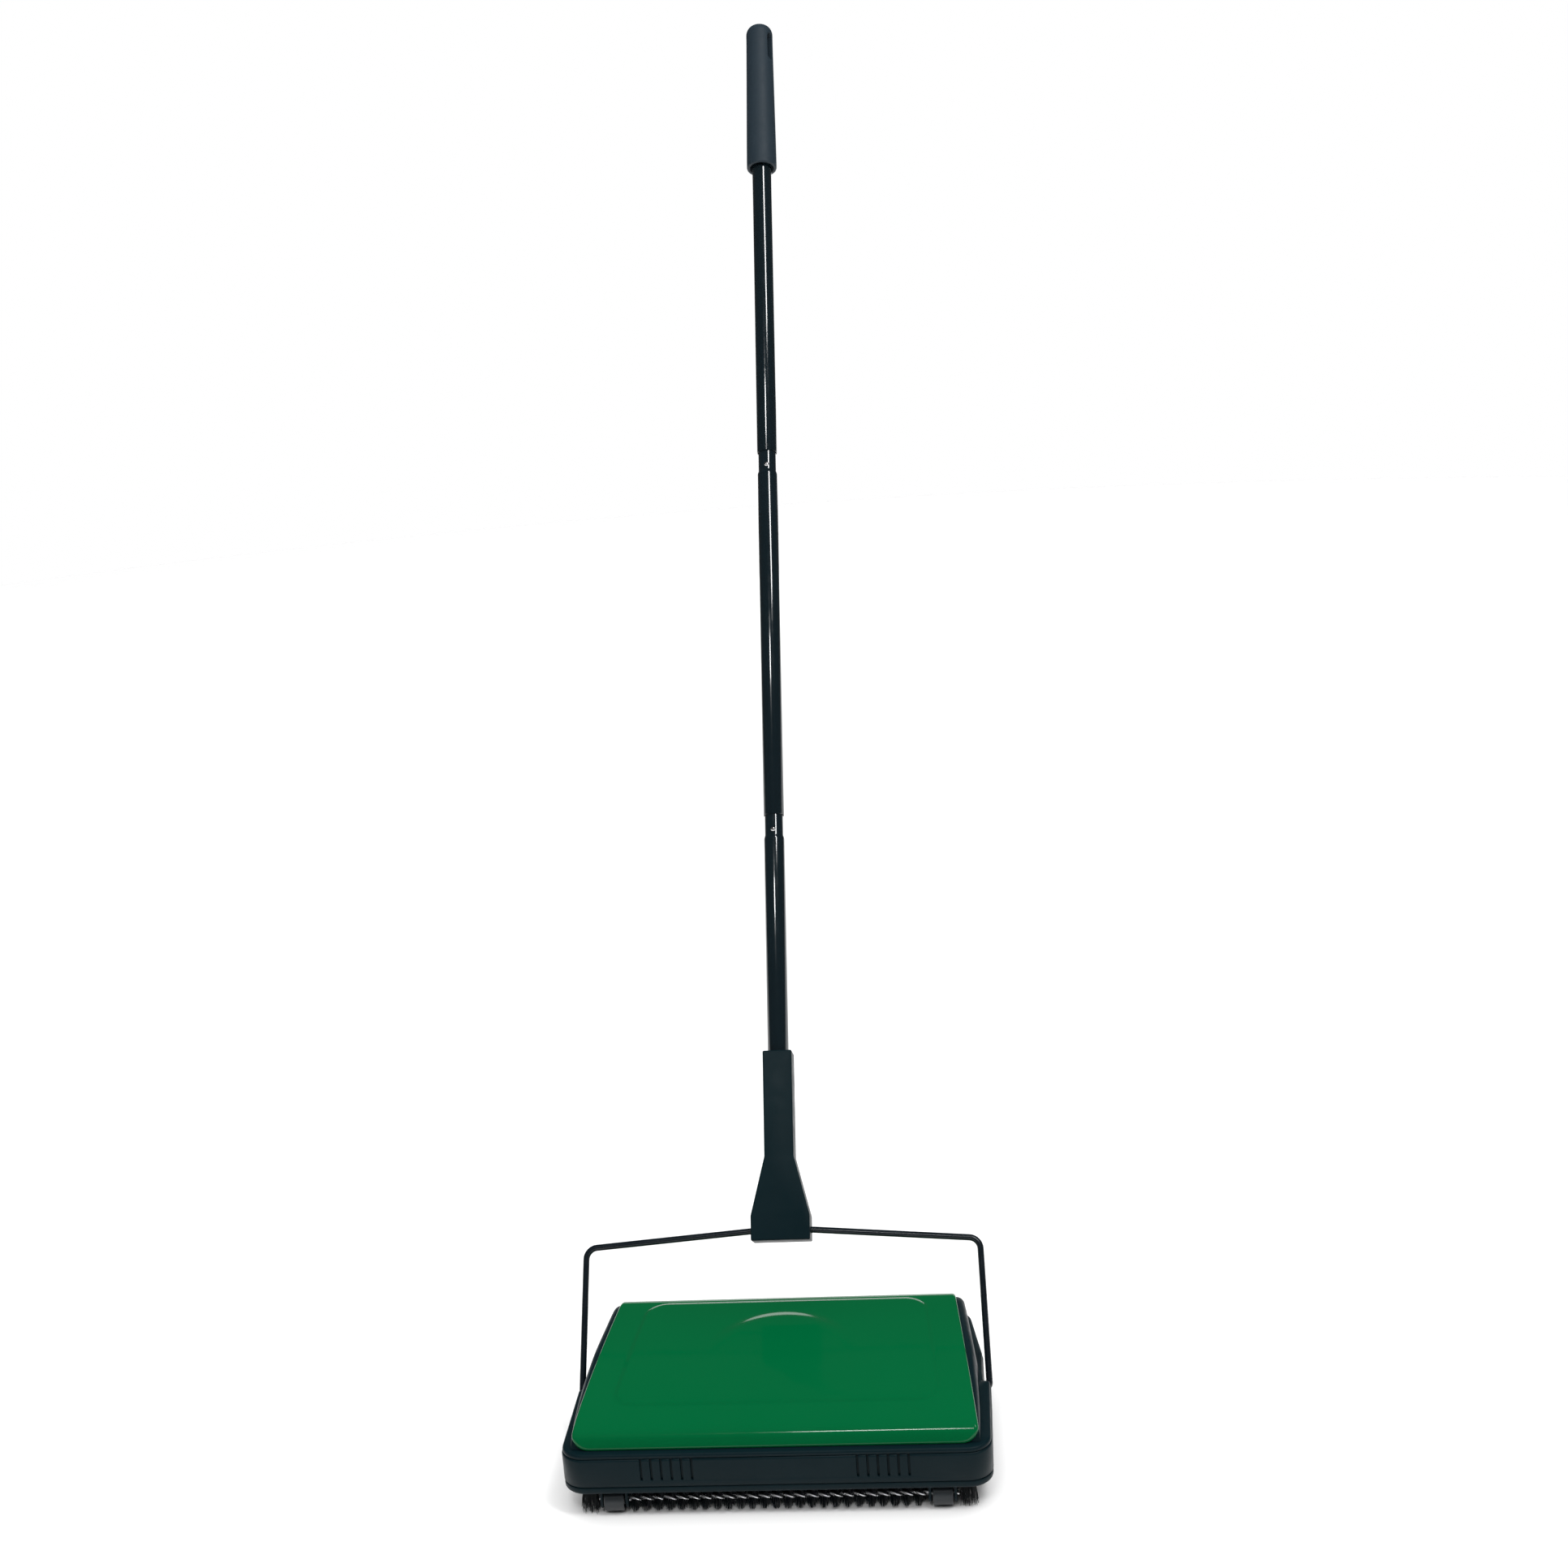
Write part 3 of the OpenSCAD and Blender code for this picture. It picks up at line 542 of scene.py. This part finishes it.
def emboss(x, y):
    """How far the outer face stands proud: a rounded panel, and a disc whose front edge fades out."""
    side = side_of(y) - PANEL_INSET
    mid, reach = (PANEL_REAR_Y + PANEL_FRONT_Y) / 2, (PANEL_REAR_Y - PANEL_FRONT_Y) / 2
    dx, dy = abs(x) - (side - PANEL_R), abs(y - mid) - (reach - PANEL_R)
    outside = math.hypot(max(dx, 0), max(dy, 0)) + min(max(dx, dy), 0) - PANEL_R
    panel = PANEL_RISE * (1 - soft_step(outside, PANEL_SLOPE))
    disc = math.hypot(x, y - ARC_MID_Y) - ARC_R
    fade = soft_step(y - ARC_MID_Y - ARC_FADE_BACK, ARC_FADE)
    return panel + ARC_RISE * (1 - soft_step(disc, ARC_SLOPE)) * fade


def graded(total, fine_steps, coarse):
    """Distances from 0 to total, with fine steps at both ends."""
    ends = list(fine_steps)
    start = ends[-1]
    count = max(2, round((total - 2 * start) / coarse))
    inner = [start + (total - 2 * start) * i / count for i in range(1, count)]
    return ends + inner + [total - d for d in reversed(ends)]


EDGE_STEPS = [0, 0.08, 0.25, 0.5, 0.8, 1.2, 1.7, 2.2, 3, 4, 5.5, 7.5, 9.5, 12]
EDGE_BAND = EDGE_STEPS[-1]


def corner_pull(end):
    """How far the rounded corner draws the side in, at a distance from the sheet's front or rear."""
    if end >= CORNER_R_ON_SKIN:
        return 0
    short = CORNER_R_ON_SKIN - end
    return CORNER_R_ON_SKIN - math.sqrt(CORNER_R_ON_SKIN ** 2 - short ** 2)


def place_across(column, half):
    """Place across the cover of a grid column. The columns beside the edges keep their spacing."""
    u = column / FRONT_HALF_W - 1
    from_side = min(column, 2 * FRONT_HALF_W - column)
    if from_side < EDGE_BAND:
        return math.copysign(max(half - from_side, 0), u)
    return math.copysign(abs(u) * FRONT_HALF_W / (FRONT_HALF_W - EDGE_BAND) * (half - EDGE_BAND), u)


def edge_distance(x, side, end):
    """Distance to the cover's nearest edge, corners included."""
    dx, short = abs(x) - (side - CORNER_R_ON_SKIN), CORNER_R_ON_SKIN - end
    if dx > 0 and short > 0:
        return max(0, CORNER_R_ON_SKIN - math.hypot(dx, short))
    return max(0, min(side - abs(x), end))


def edge_drop(edge):
    """How far the outer face has rolled over, near an edge."""
    if edge >= COVER_T:
        return 0
    return COVER_T - math.sqrt(max(0, COVER_T ** 2 - (COVER_T - edge) ** 2))


def make_cover():
    """The cover as one shell: its outer face rolls over by its thickness at every edge."""
    rows = graded(ARCH_LENGTH, EDGE_STEPS, 1.3)
    columns = graded(2 * FRONT_HALF_W, EDGE_STEPS, 1.6)
    outer, inner = [], []
    for length in rows:
        point, normal = on_arch(length)
        under = point - normal * COVER_T
        side, end = side_of(point.x), min(length, ARCH_LENGTH - length)
        for column in columns:
            x = place_across(column, side - corner_pull(end))
            edge = edge_distance(x, side, end)
            lift = emboss(x, point.x) * min(1, edge / FLAT_EDGE)
            spot = point + normal * (lift - edge_drop(edge))
            outer.append(Vector((x, spot.x, spot.y)))
            inner.append(Vector((x, under.x, under.y)))
    width, count = len(columns), len(outer)
    faces = []
    for i in range(len(rows) - 1):
        for k in range(width - 1):
            a = i * width + k
            faces.append((a, a + 1, a + width + 1, a + width))
            b = count + a
            faces.append((b, b + width, b + width + 1, b + 1))
    make_piece("cover_shell", outer + inner, faces, "green_plastic", "base", ["dome_cover"], 60)


DECK_INSET = 18
HOUSING_OUT = 7             # how far the cheeks stand out beside the cover at the crown
HOUSING_LEAN = math.radians(9.5)
HOUSING_FOOT_MAX = 132
HOUSING_EDGE_R = 6


def make_deck():
    """The rim that sits on the base, and the housing whose cheeks show beside the cover."""
    rim = [(7, SEAM_Z + 0.1), (1.2, SEAM_Z + 0.1), (0.75, SEAM_Z + 0.5), (0.6, SEAM_Z + 1.2),
           (0.65, DECK_Z - 1.6), (0.9, DECK_Z - 0.8), (1.4, DECK_Z - 0.25), (2.4, DECK_Z),
           (DECK_INSET, DECK_Z), (DECK_INSET, DECK_Z - 1.5)]
    solids = [loft(plan_rings(rim), closed=True)]
    rings = []
    sunk = COVER_T + COVER_GAP
    for length in graded(ARCH_LENGTH, [0, 1, 2, 4, 6], 3):
        point, normal = on_arch(length)
        top = point - normal * sunk
        y, z = top.x, max(top.y, DECK_Z + 0.1)
        crown_side = side_of(y) + HOUSING_OUT - sunk
        foot_side = min(crown_side + (CROWN_Z - DECK_Z) * math.tan(HOUSING_LEAN), HOUSING_FOOT_MAX)
        top_side = foot_side + (crown_side - foot_side) * (z - DECK_Z) / (CROWN_Z - DECK_Z)
        radius = min(HOUSING_EDGE_R, (z - DECK_Z) * 0.6)
        corner = fillet([(foot_side, DECK_Z - 2), (top_side, z), (0, z)], [0, radius, 0], 8, False)
        if radius < 0.2:
            corner = [(foot_side, DECK_Z - 2)] + [(top_side, z)] * 9 + [(0, z)]
            corner = [Vector(p) for p in corner]
        half = [Vector((p.x, y, p.y)) for p in corner]
        rings.append(half + [Vector((-p.x, p.y, p.z)) for p in reversed(half[:-1])])
    solids.append(loft(rings))
    make_piece("deck_moulding", *join(*solids), "black_plastic", "base", ["top_deck"], 40)


# ---- handle ----

WIRE_R = 2.2
BAIL_PIN_END_X = 124        # inner end of the pins that turn in the base
BAIL_FOOT_X = 139.0
BAIL_TOP_X = 136.5
BAIL_H = 100
BAIL_MID = (22.5, 108.7)    # where the crossbar goes into the socket


def mirrored(right):
    """An outline's right half, followed by its mirror image back to the start."""
    return right + [(-x, s) for x, s in reversed(right)]


def make_bail():
    """The wire: pins in the base, two legs, and a crossbar that rises to the socket."""
    right = [(BAIL_PIN_END_X, 0), (BAIL_FOOT_X, 0), (BAIL_TOP_X, BAIL_H), BAIL_MID]
    line = fillet(mirrored(right), [0, 4, 8, 8, 8, 8, 4, 0], 10, False)
    make_piece("bail", *tube([on_handle(p.x, 0, p.y) for p in line], WIRE_R, 28), "black_wire",
               "handle", ["bail_wire"])


SOCKET_S = (101.5, 233)     # from foot to top, as distances from the pivot
SOCKET_FOOT = 20.5
SOCKET_TOP = 10.25
SOCKET_T = 20.5
SOCKET_FLARE = (17, 57.5)   # the straight flare, above the foot
SOCKET_BORE_R = 7.62
SOCKET_BORE = 44


def make_socket():
    """A flat flared block with a bore for the lower tube."""
    low, high = SOCKET_S
    flare_low, flare_high = SOCKET_FLARE
    right = [(SOCKET_FOOT, low), (SOCKET_FOOT, low + flare_low), (SOCKET_TOP, low + flare_high),
             (SOCKET_TOP, high)]
    radii = [1.0, 3, 6, 1.0]
    rounded = fillet(mirrored(right), radii + radii[::-1], 8)
    block = prism(rounded, lambda u, v, w: on_handle(u, w - SOCKET_T / 2, v), SOCKET_T)
    socket = make_piece("socket_body", *block, "black_plastic", "handle", ["handle_socket"])
    bevel(socket, 1.4, 4, 60)
    foot, mouth = high - SOCKET_BORE, high + 2
    bore = [(0, foot), (SOCKET_BORE_R, foot), (SOCKET_BORE_R, mouth), (0, mouth)]
    cut_away(socket, *lathe(bore, PIVOT, ALONG, ACROSS))


TUBE_R = 7.5
TUBE_WALL = 0.6
NECK_R = 6.75
NECK = 43.5
# Where each tube starts and ends along the handle. An end with a neck is its shoulder.
LOWER_TUBE = (188, 391)
MIDDLE_TUBE = (406.5, 678)
UPPER_TUBE = (693.5, 1019.5)


def make_tube(name, start, end, has_neck=True):
    """A painted tube whose mouth is rolled in. A neck narrows it at its end for the next tube."""
    bore, neck_bore = TUBE_R - TUBE_WALL, NECK_R - TUBE_WALL
    profile = [(bore, start + 0.6), (bore + 0.2, start), (TUBE_R - 0.15, start),
               (TUBE_R, start + 0.35)]
    if has_neck:
        profile += [(TUBE_R, end - 2.6), (TUBE_R - 0.12, end - 1.6), (NECK_R + 0.1, end - 0.2),
                    (NECK_R, end + 0.4), (NECK_R, end + NECK), (neck_bore, end + NECK),
                    (neck_bore, end + 0.4)]
    else:
        profile += [(TUBE_R, end), (bore, end)]
    make_piece(name + "_section", *lathe(profile, PIVOT, ALONG, ACROSS, 96), "black_tube",
               "handle", [name], 40)


def make_button(node):
    """A round-headed button that looks out of the tube's front."""
    profile = [(0, -1.6), (1.9, -1.6), (1.9, 0.3), (1.75, 0.9), (1.4, 1.35), (0.8, 1.65), (0, 1.75)]
    make_piece(node + "_stud", *lathe(profile, middle(node), -BACK, ACROSS, 32), "button_steel",
               node, [node])


GRIP_S = (938.5, 1067.5)    # from mouth to top, as distances from the pivot
GRIP_FOOT_R = 11.8
GRIP_TOP_R = 10.6
GRIP_BORE = 81
GRIP_BORE_R = TUBE_R + 0.05
HANG_SLOT_R = 3.0
HANG_SLOT_REACH = 9.0       # from the slot's middle to the centre of each round end
HANG_SLOT_DOWN = 21
HANG_SLOT_TURN = math.radians(30)


def make_grip():
    """A slim turned grip with a domed top and a slot through it to hang it by."""
    low, high = GRIP_S
    mouth = [(0, low + GRIP_BORE), (GRIP_BORE_R, low + GRIP_BORE), (GRIP_BORE_R, low + 4),
             (TUBE_R + 1.5, low + 2.5), (TUBE_R + 1.9, low + 0.4)]
    barrel = [(GRIP_FOOT_R - 1.0, low), (GRIP_FOOT_R - 0.3, low + 0.35), (GRIP_FOOT_R, low + 1.3),
              (GRIP_FOOT_R, low + 6), (GRIP_FOOT_R - 0.25, low + 30), (GRIP_TOP_R + 0.35, low + 80),
              (GRIP_TOP_R, high - 16)]
    dome = [(GRIP_TOP_R - 6.4 * (1 - math.cos(a)), high - 7.5 * (1 - math.sin(a)))
            for a in (math.radians(t) for t in range(0, 81, 8))]
    crown = [(3.6, high - 0.2), (3.0, high - 0.8), (0, high - 1)]
    grip = make_piece("hand_grip", *lathe(mouth + barrel + dome + crown, PIVOT, ALONG, ACROSS, 96),
                      "grip_plastic", "handle", ["grip"], 45)
    across = ACROSS * math.cos(HANG_SLOT_TURN) - BACK * math.sin(HANG_SLOT_TURN)
    beside = ACROSS * math.sin(HANG_SLOT_TURN) + BACK * math.cos(HANG_SLOT_TURN)
    mid, half = high - HANG_SLOT_DOWN, HANG_SLOT_R
    outline = [(half * math.cos(a), mid + HANG_SLOT_REACH * up + half * math.sin(a))
               for up, start in ((1, 0), (-1, math.pi)) for a in half_turn(start, 10)]
    through = 20
    cut_away(grip, *prism(outline, lambda u, v, w: (PIVOT + beside * u + across * (w - through)
                                                    + ALONG * v), 2 * through))
    bevel(grip, 0.5, 3, 50)


# ---- running gear ----

LEAD = 15.4                 # length of one full twist of the core
STRAND_R = 1.0
BRUSH_R = 8.6
BRUSH_BRISTLES = 3600
BRUSH_BRISTLE_R = 0.17
BRUSH_SEEDS = {"front": 7, "rear": 8}


def make_core(end):
    """Two bright wires twisted together."""
    low, high = box(end + "_brush_core")
    centre = middle(end + "_brush_core")
    strands = []
    for phase in (0, math.pi):
        path = []
        steps = round((high.x - low.x) / LEAD * 24)
        for i in range(steps + 1):
            x = low.x + (high.x - low.x) * i / steps
            a = 2 * math.pi * x / LEAD + phase
            path.append((x, centre.y + STRAND_R * math.cos(a), centre.z + STRAND_R * math.sin(a)))
        strands.append(tube(path, STRAND_R, 10))
    make_piece(end + "_twisted_core", *join(*strands), "core_steel", end + "_brush",
               [end + "_brush_core"], 60)


def make_brush(end):
    """Bristles that stand out between the core's wires in two spiral rows."""
    rng = random.Random(BRUSH_SEEDS[end])
    low, high = box(end + "_brush_bristles")
    centre = middle(end + "_brush_core")
    bristles = []
    for i in range(BRUSH_BRISTLES):
        x = low.x + (high.x - low.x) * (i + rng.random()) / BRUSH_BRISTLES
        row = math.pi * (i % 2)
        angle = 2 * math.pi * x / LEAD + row + math.pi / 2 + rng.uniform(-0.42, 0.42)
        reach = BRUSH_R * rng.uniform(0.93, 1.0)
        out = Vector((rng.uniform(-0.05, 0.05), math.cos(angle), math.sin(angle)))
        other = out.cross(ACROSS)
        root = Vector((x, centre.y, centre.z))
        foot, tip = root + out * 1.4, root + out * reach
        rings = [[p + (ACROSS * math.cos(t) + other * math.sin(t)) * r for t in turns(3)]
                 for p, r in ((foot, BRUSH_BRISTLE_R), (tip, BRUSH_BRISTLE_R * 0.7))]
        bristles.append(loft(rings))
    make_piece(end + "_spiral_bristles", *join(*bristles), "bristle", end + "_brush",
               [end + "_brush_bristles"], 80)


PULLEY_BORE_R = 1.6
HUB_BORE_R = 2.55


def wheel_profile(half_w, radius, bore):
    """A pulley or hub: a rounded rim, a dished face and a round boss."""
    return [(bore, -half_w), (bore + 2.2, -half_w), (bore + 2.5, -half_w + 0.6),
            (bore + 2.6, -half_w + 1.8),
            (radius - 2.6, -half_w + 1.8), (radius - 2.2, -half_w + 0.4), (radius - 0.5, -half_w),
            (radius, -half_w + 0.6), (radius, half_w - 0.6), (radius - 0.5, half_w),
            (radius - 2.2, half_w - 0.4), (radius - 2.6, half_w - 1.8), (bore + 2.6, half_w - 1.8),
            (bore + 2.5, half_w - 0.6), (bore + 2.2, half_w), (bore, half_w)]


def make_pulley(corner, body):
    """The brush's end piece, which the two tyres of its end press on."""
    node = corner + "_pulley"
    low, high = box(node)
    profile = wheel_profile((high.x - low.x) / 2, (high.z - low.z) / 2, PULLEY_BORE_R)
    make_piece(node + "_wheel", *lathe(profile, middle(node), ACROSS, ALONG.cross(ACROSS), 64),
               "pulley_plastic", body, [node])


TYRE_RIBS = 5
TYRE_SHOULDER = 1.4
TYRE_GROOVE = 0.5


def make_wheel(corner, body):
    """A hub and its ribbed tyre."""
    hub, tyre = corner + "_hub", corner + "_tyre"
    low, high = box(hub)
    half, radius = (high.x - low.x) / 2, (high.z - low.z) / 2
    profile = wheel_profile(half, radius, HUB_BORE_R)
    make_piece(hub + "_wheel", *lathe(profile, middle(hub), ACROSS, UP, 72), "hub_plastic", body,
               [hub])
    low, high = box(tyre)
    half, outer = (high.x - low.x) / 2, (high.z - low.z) / 2
    profile = [(radius, -half), (outer - 1.6, -half), (outer - 0.6, -half + 0.5),
               (outer, -half + TYRE_SHOULDER)]
    width = 2 * (half - TYRE_SHOULDER) / TYRE_RIBS
    for i in range(TYRE_RIBS):
        x = -half + TYRE_SHOULDER + i * width
        profile += [(outer, x + width * 0.25), (outer, x + width * 0.6),
                    (outer - TYRE_GROOVE, x + width * 0.75), (outer - TYRE_GROOVE, x + width * 0.9)]
    profile += [(outer, half - TYRE_SHOULDER), (outer - 0.6, half - 0.5), (outer - 1.6, half),
                (radius, half)]
    make_piece(tyre + "_ring", *lathe(profile, middle(tyre), ACROSS, UP, 96), "tyre_rubber", body,
               [tyre])


def make_pin(name, node, slot, body):
    """A drawn steel pin with chamfered ends."""
    low, high = box(node)
    r, half = (high.z - low.z) / 2, (high.x - low.x) / 2
    profile = [(0, -half), (r - 0.4, -half), (r, -half + 0.5), (r, half - 0.5), (r - 0.4, half),
               (0, half)]
    make_piece(name, *lathe(profile, middle(node), ACROSS, UP, 40), slot, body, [node])


TUFT_PITCH = (0.75, 0.9)
TUFT_SPLAY = 1.3
TUFT_GATHER = 0.8           # the bristles' feet stand closer together than their tips
TUFT_UNEVEN = 4.5


def make_tuft(corner):
    """Bristles that stand in rows in their block, uneven at their tips and a little splayed."""
    rng = random.Random(sum(map(ord, corner)))
    low, high = box(corner + "_tuft")
    centre = (low + high) / 2
    columns = round((high.x - low.x) / TUFT_PITCH[0])
    rows = round((high.y - low.y) / TUFT_PITCH[1])
    bristles = []
    for i in range(columns):
        for k in range(rows):
            x = low.x + (high.x - low.x) * (i + 0.5) / columns
            y = low.y + (high.y - low.y) * (k + 0.5) / rows
            foot = Vector((centre.x + (x - centre.x) * TUFT_GATHER,
                           centre.y + (y - centre.y) * TUFT_GATHER, high.z))
            lean = Vector((rng.uniform(-TUFT_SPLAY, TUFT_SPLAY),
                           rng.uniform(-TUFT_SPLAY, TUFT_SPLAY), 0))
            tip = Vector((x, y, low.z + rng.uniform(0.0, TUFT_UNEVEN))) + lean
            rings = [[p + Vector((math.cos(t), math.sin(t), 0)) * r for t in (0, 2.09, 4.19)]
                     for p, r in ((foot, 0.22), (foot.lerp(tip, 0.6), 0.2), (tip, 0.12))]
            bristles.append(loft(rings))
    make_piece(corner + "_tuft_bristles", *join(*bristles), "bristle", "base", [corner + "_tuft"],
               80)


def make_tuft_block(corner):
    """The holder that a tuft stands in."""
    node = corner + "_tuft_block"
    low, high = box(node)
    outline = fillet([(low.x, low.y), (high.x, low.y), (high.x, high.y), (low.x, high.y)],
                     [1.2] * 4, 4)
    solid = prism(outline, lambda u, v, w: Vector((u, v, low.z + w)), high.z - low.z)
    block = make_piece(node + "_holder", *solid, "bush_plastic", "base", [node])
    bevel(block, 0.4, 2)


PAN_FLOOR_Z = 9.0
PAN_T = 1.8
PAN_LIP_RISE = 4
PAN_LIP_LENGTH = 7
PAN_RIB_XS = (-62, -31, 0, 31, 62)
PAN_RIB_H = 0.5
KNUCKLE_LENGTH = 22
KNUCKLE_R = 3.6
KNUCKLE_BORE_R = 2.05


def make_pan(end):
    """A scoop with end walls, two knuckles on its pin, and a lip beside the brush."""
    node = end + "_pan"
    sign = -1 if end == "front" else 1
    low, high = box(node)
    outer, inner = max(abs(low.y), abs(high.y)), min(abs(low.y), abs(high.y))
    pin = middle(node + "_pin")
    half, floor, top, thick = high.x, PAN_FLOOR_Z, high.z, PAN_T
    lip_z, lip_y = floor + PAN_LIP_RISE, outer - PAN_LIP_LENGTH

    def flat(points, x0, x1):
        return prism(points, lambda u, v, w: Vector((x0 + w, sign * u, v)), x1 - x0)

    scoop = [(outer, lip_z), (lip_y, floor), (inner, floor), (inner, top), (inner + thick, top),
             (inner + thick, floor + thick), (lip_y, floor + thick), (outer, lip_z + thick)]
    end_wall = [(outer, lip_z), (lip_y, floor), (inner, floor), (inner, top), (inner + 14, top),
                (outer, floor + 8)]
    walls = [flat(fillet(end_wall, [0.6, 4, 1.5, 1.0, 8, 0.6], 5), x, x + thick)
             for x in (-half, half - thick)]
    barrel = [(KNUCKLE_BORE_R, 0), (KNUCKLE_R - 0.3, 0), (KNUCKLE_R, 0.4),
              (KNUCKLE_R, KNUCKLE_LENGTH - 0.4), (KNUCKLE_R - 0.3, KNUCKLE_LENGTH),
              (KNUCKLE_BORE_R, KNUCKLE_LENGTH)]
    knuckles = [lathe([(r, x + s) for r, s in barrel], Vector((0, pin.y, pin.z)), ACROSS, UP, 40)
                for x in (-half, half - KNUCKLE_LENGTH)]
    rib_low, rib_high = floor + thick - 0.2, floor + thick + PAN_RIB_H
    rib = [(inner + 16, rib_low), (outer - 12, rib_low), (outer - 12, rib_high),
           (inner + 16, rib_high)]
    ribs = [flat(rib, x - 0.6, x + 0.6) for x in PAN_RIB_XS]
    pan = make_piece(node + "_scoop", *join(flat(scoop, -half, half), *walls, *knuckles, *ribs),
                     "pan_plastic", node, [node])
    bevel(pan, 0.3, 2)


KEPT_NODES = {
    "screw_steel": ("deck_screws", "socket_screw"),
    "bush_plastic": ("pivot_bush_left", "pivot_bush_right"),
    "pin_steel": ("front_pan_spring", "rear_pan_spring"),
}


def finish_kept_nodes():
    """CAD nodes whose shape is right keep it and take their finish."""
    for slot, nodes in KEPT_NODES.items():
        for node in nodes:
            kept = frame["nodes"][node]
            kept.data.materials.clear()
            kept.data.materials.append(MATERIALS[slot])


make_base()
make_shelves()
for rail_side in ("left", "right"):
    for rail_place in ("inner", "outer"):
        make_rail(f"{rail_side}_{rail_place}_rail")
make_cover()
make_deck()
make_bail()
make_socket()
make_tube("lower_tube", *LOWER_TUBE)
make_tube("middle_tube", *MIDDLE_TUBE)
make_tube("upper_tube", *UPPER_TUBE, has_neck=False)
make_button("lower_button")
make_button("upper_button")
make_grip()
for sweeper_end in ("front", "rear"):
    make_core(sweeper_end)
    make_brush(sweeper_end)
    make_pan(sweeper_end)
    make_pin(sweeper_end + "_hinge_pin", sweeper_end + "_pan_pin", "pin_steel", "base")
    for end_side in ("left", "right"):
        where = f"{sweeper_end}_{end_side}"
        make_pulley(where, sweeper_end + "_brush")
        make_wheel(where, where + "_wheel")
        make_pin(where + "_axle_pin", where + "_axle", "pin_steel", "base")
        make_tuft(where)
        make_tuft_block(where)
finish_kept_nodes()


# ---- floor, light and camera ----

FLOOR_R = 4.2               # metres
FLOOR_SIDES = 96


def make_floor():
    mesh = bpy.data.meshes.new("floor")
    rim = [(FLOOR_R * math.cos(t), FLOOR_R * math.sin(t), 0) for t in turns(FLOOR_SIDES)]
    mesh.from_pydata(rim, [], [tuple(range(FLOOR_SIDES))])
    material, nodes, links, shader = new_material("floor_paper", (0.86, 0.86, 0.86), 0.85,
                                                  Specular_IOR_Level=0.1)
    grain(nodes, links, shader, 900, 0.02)
    mesh.materials.append(material)
    floor = bpy.data.objects.new("floor", mesh)
    bpy.context.collection.objects.link(floor)


def make_light(name, place, target, size, watts, is_mirrored=True):
    """A softbox, in metres. Glossy faces don't mirror it when is_mirrored is off."""
    light = bpy.data.lights.new(name, "AREA")
    light.shape = "RECTANGLE"
    light.size, light.size_y = size
    light.energy = watts
    lamp = bpy.data.objects.new(name, light)
    bpy.context.collection.objects.link(lamp)
    lamp.visible_glossy = is_mirrored
    lamp.location = place
    lamp.rotation_euler = (Vector(target) - Vector(place)).to_track_quat("-Z", "Y").to_euler()


# The room is dim, and the backdrop behind the sweeper is bright
ROOM_LIGHT = 0.06
BACKDROP_LIGHT = 1.0


def make_world():
    """A white surround, which only the camera sees at its full brightness."""
    world = bpy.data.worlds.new("studio")
    world.use_nodes = True
    nodes, links = world.node_tree.nodes, world.node_tree.links
    background = nodes["Background"]
    background.inputs["Color"].default_value = (1, 1, 1, 1)
    path = nodes.new("ShaderNodeLightPath")
    strength = nodes.new("ShaderNodeMapRange")
    strength.inputs["To Min"].default_value = ROOM_LIGHT
    strength.inputs["To Max"].default_value = BACKDROP_LIGHT
    links.new(path.outputs["Is Camera Ray"], strength.inputs["Value"])
    links.new(strength.outputs["Result"], background.inputs["Strength"])
    bpy.context.scene.world = world
    bpy.context.scene.view_settings.view_transform = "Standard"


CAMERA_PLACE = Vector((0.1601, -1.3837, 0.8528))
CAMERA_PITCH = math.radians(-15.597)
CAMERA_YAW = math.radians(5.395)
CAMERA_ROLL = math.radians(-4.12)
CAMERA_LENS = 52.81


def make_camera():
    camera = bpy.data.cameras.new("camera")
    camera.sensor_width = 36
    camera.lens = CAMERA_LENS
    camera.clip_end = 100
    holder = bpy.data.objects.new("camera", camera)
    bpy.context.collection.objects.link(holder)
    turn = (Matrix.Rotation(CAMERA_YAW, 4, "Z") @ Matrix.Rotation(math.pi / 2 + CAMERA_PITCH, 4, "X")
            @ Matrix.Rotation(CAMERA_ROLL, 4, "Z"))
    holder.matrix_world = Matrix.Translation(CAMERA_PLACE) @ turn
    bpy.context.scene.camera = holder


make_floor()
make_light("overhead_softbox", (0, 0.5, 7.0), (0, 0.5, 0), (15, 16), 1500,
           is_mirrored=False)
make_light("key_right", (1.0, -0.8, 2.57), (0, 0.4, 0.6), (0.35, 1.0), 26)
make_light("lip_strip", (-0.08, -1.58, 2.13), (0.05, -0.08, 0.05), (0.3, 0.25), 8)
make_light("rear_strip", (0, 3.2, 0.5), (0, 0, 0.05), (2.2, 0.6), 7)
make_world()
make_camera()
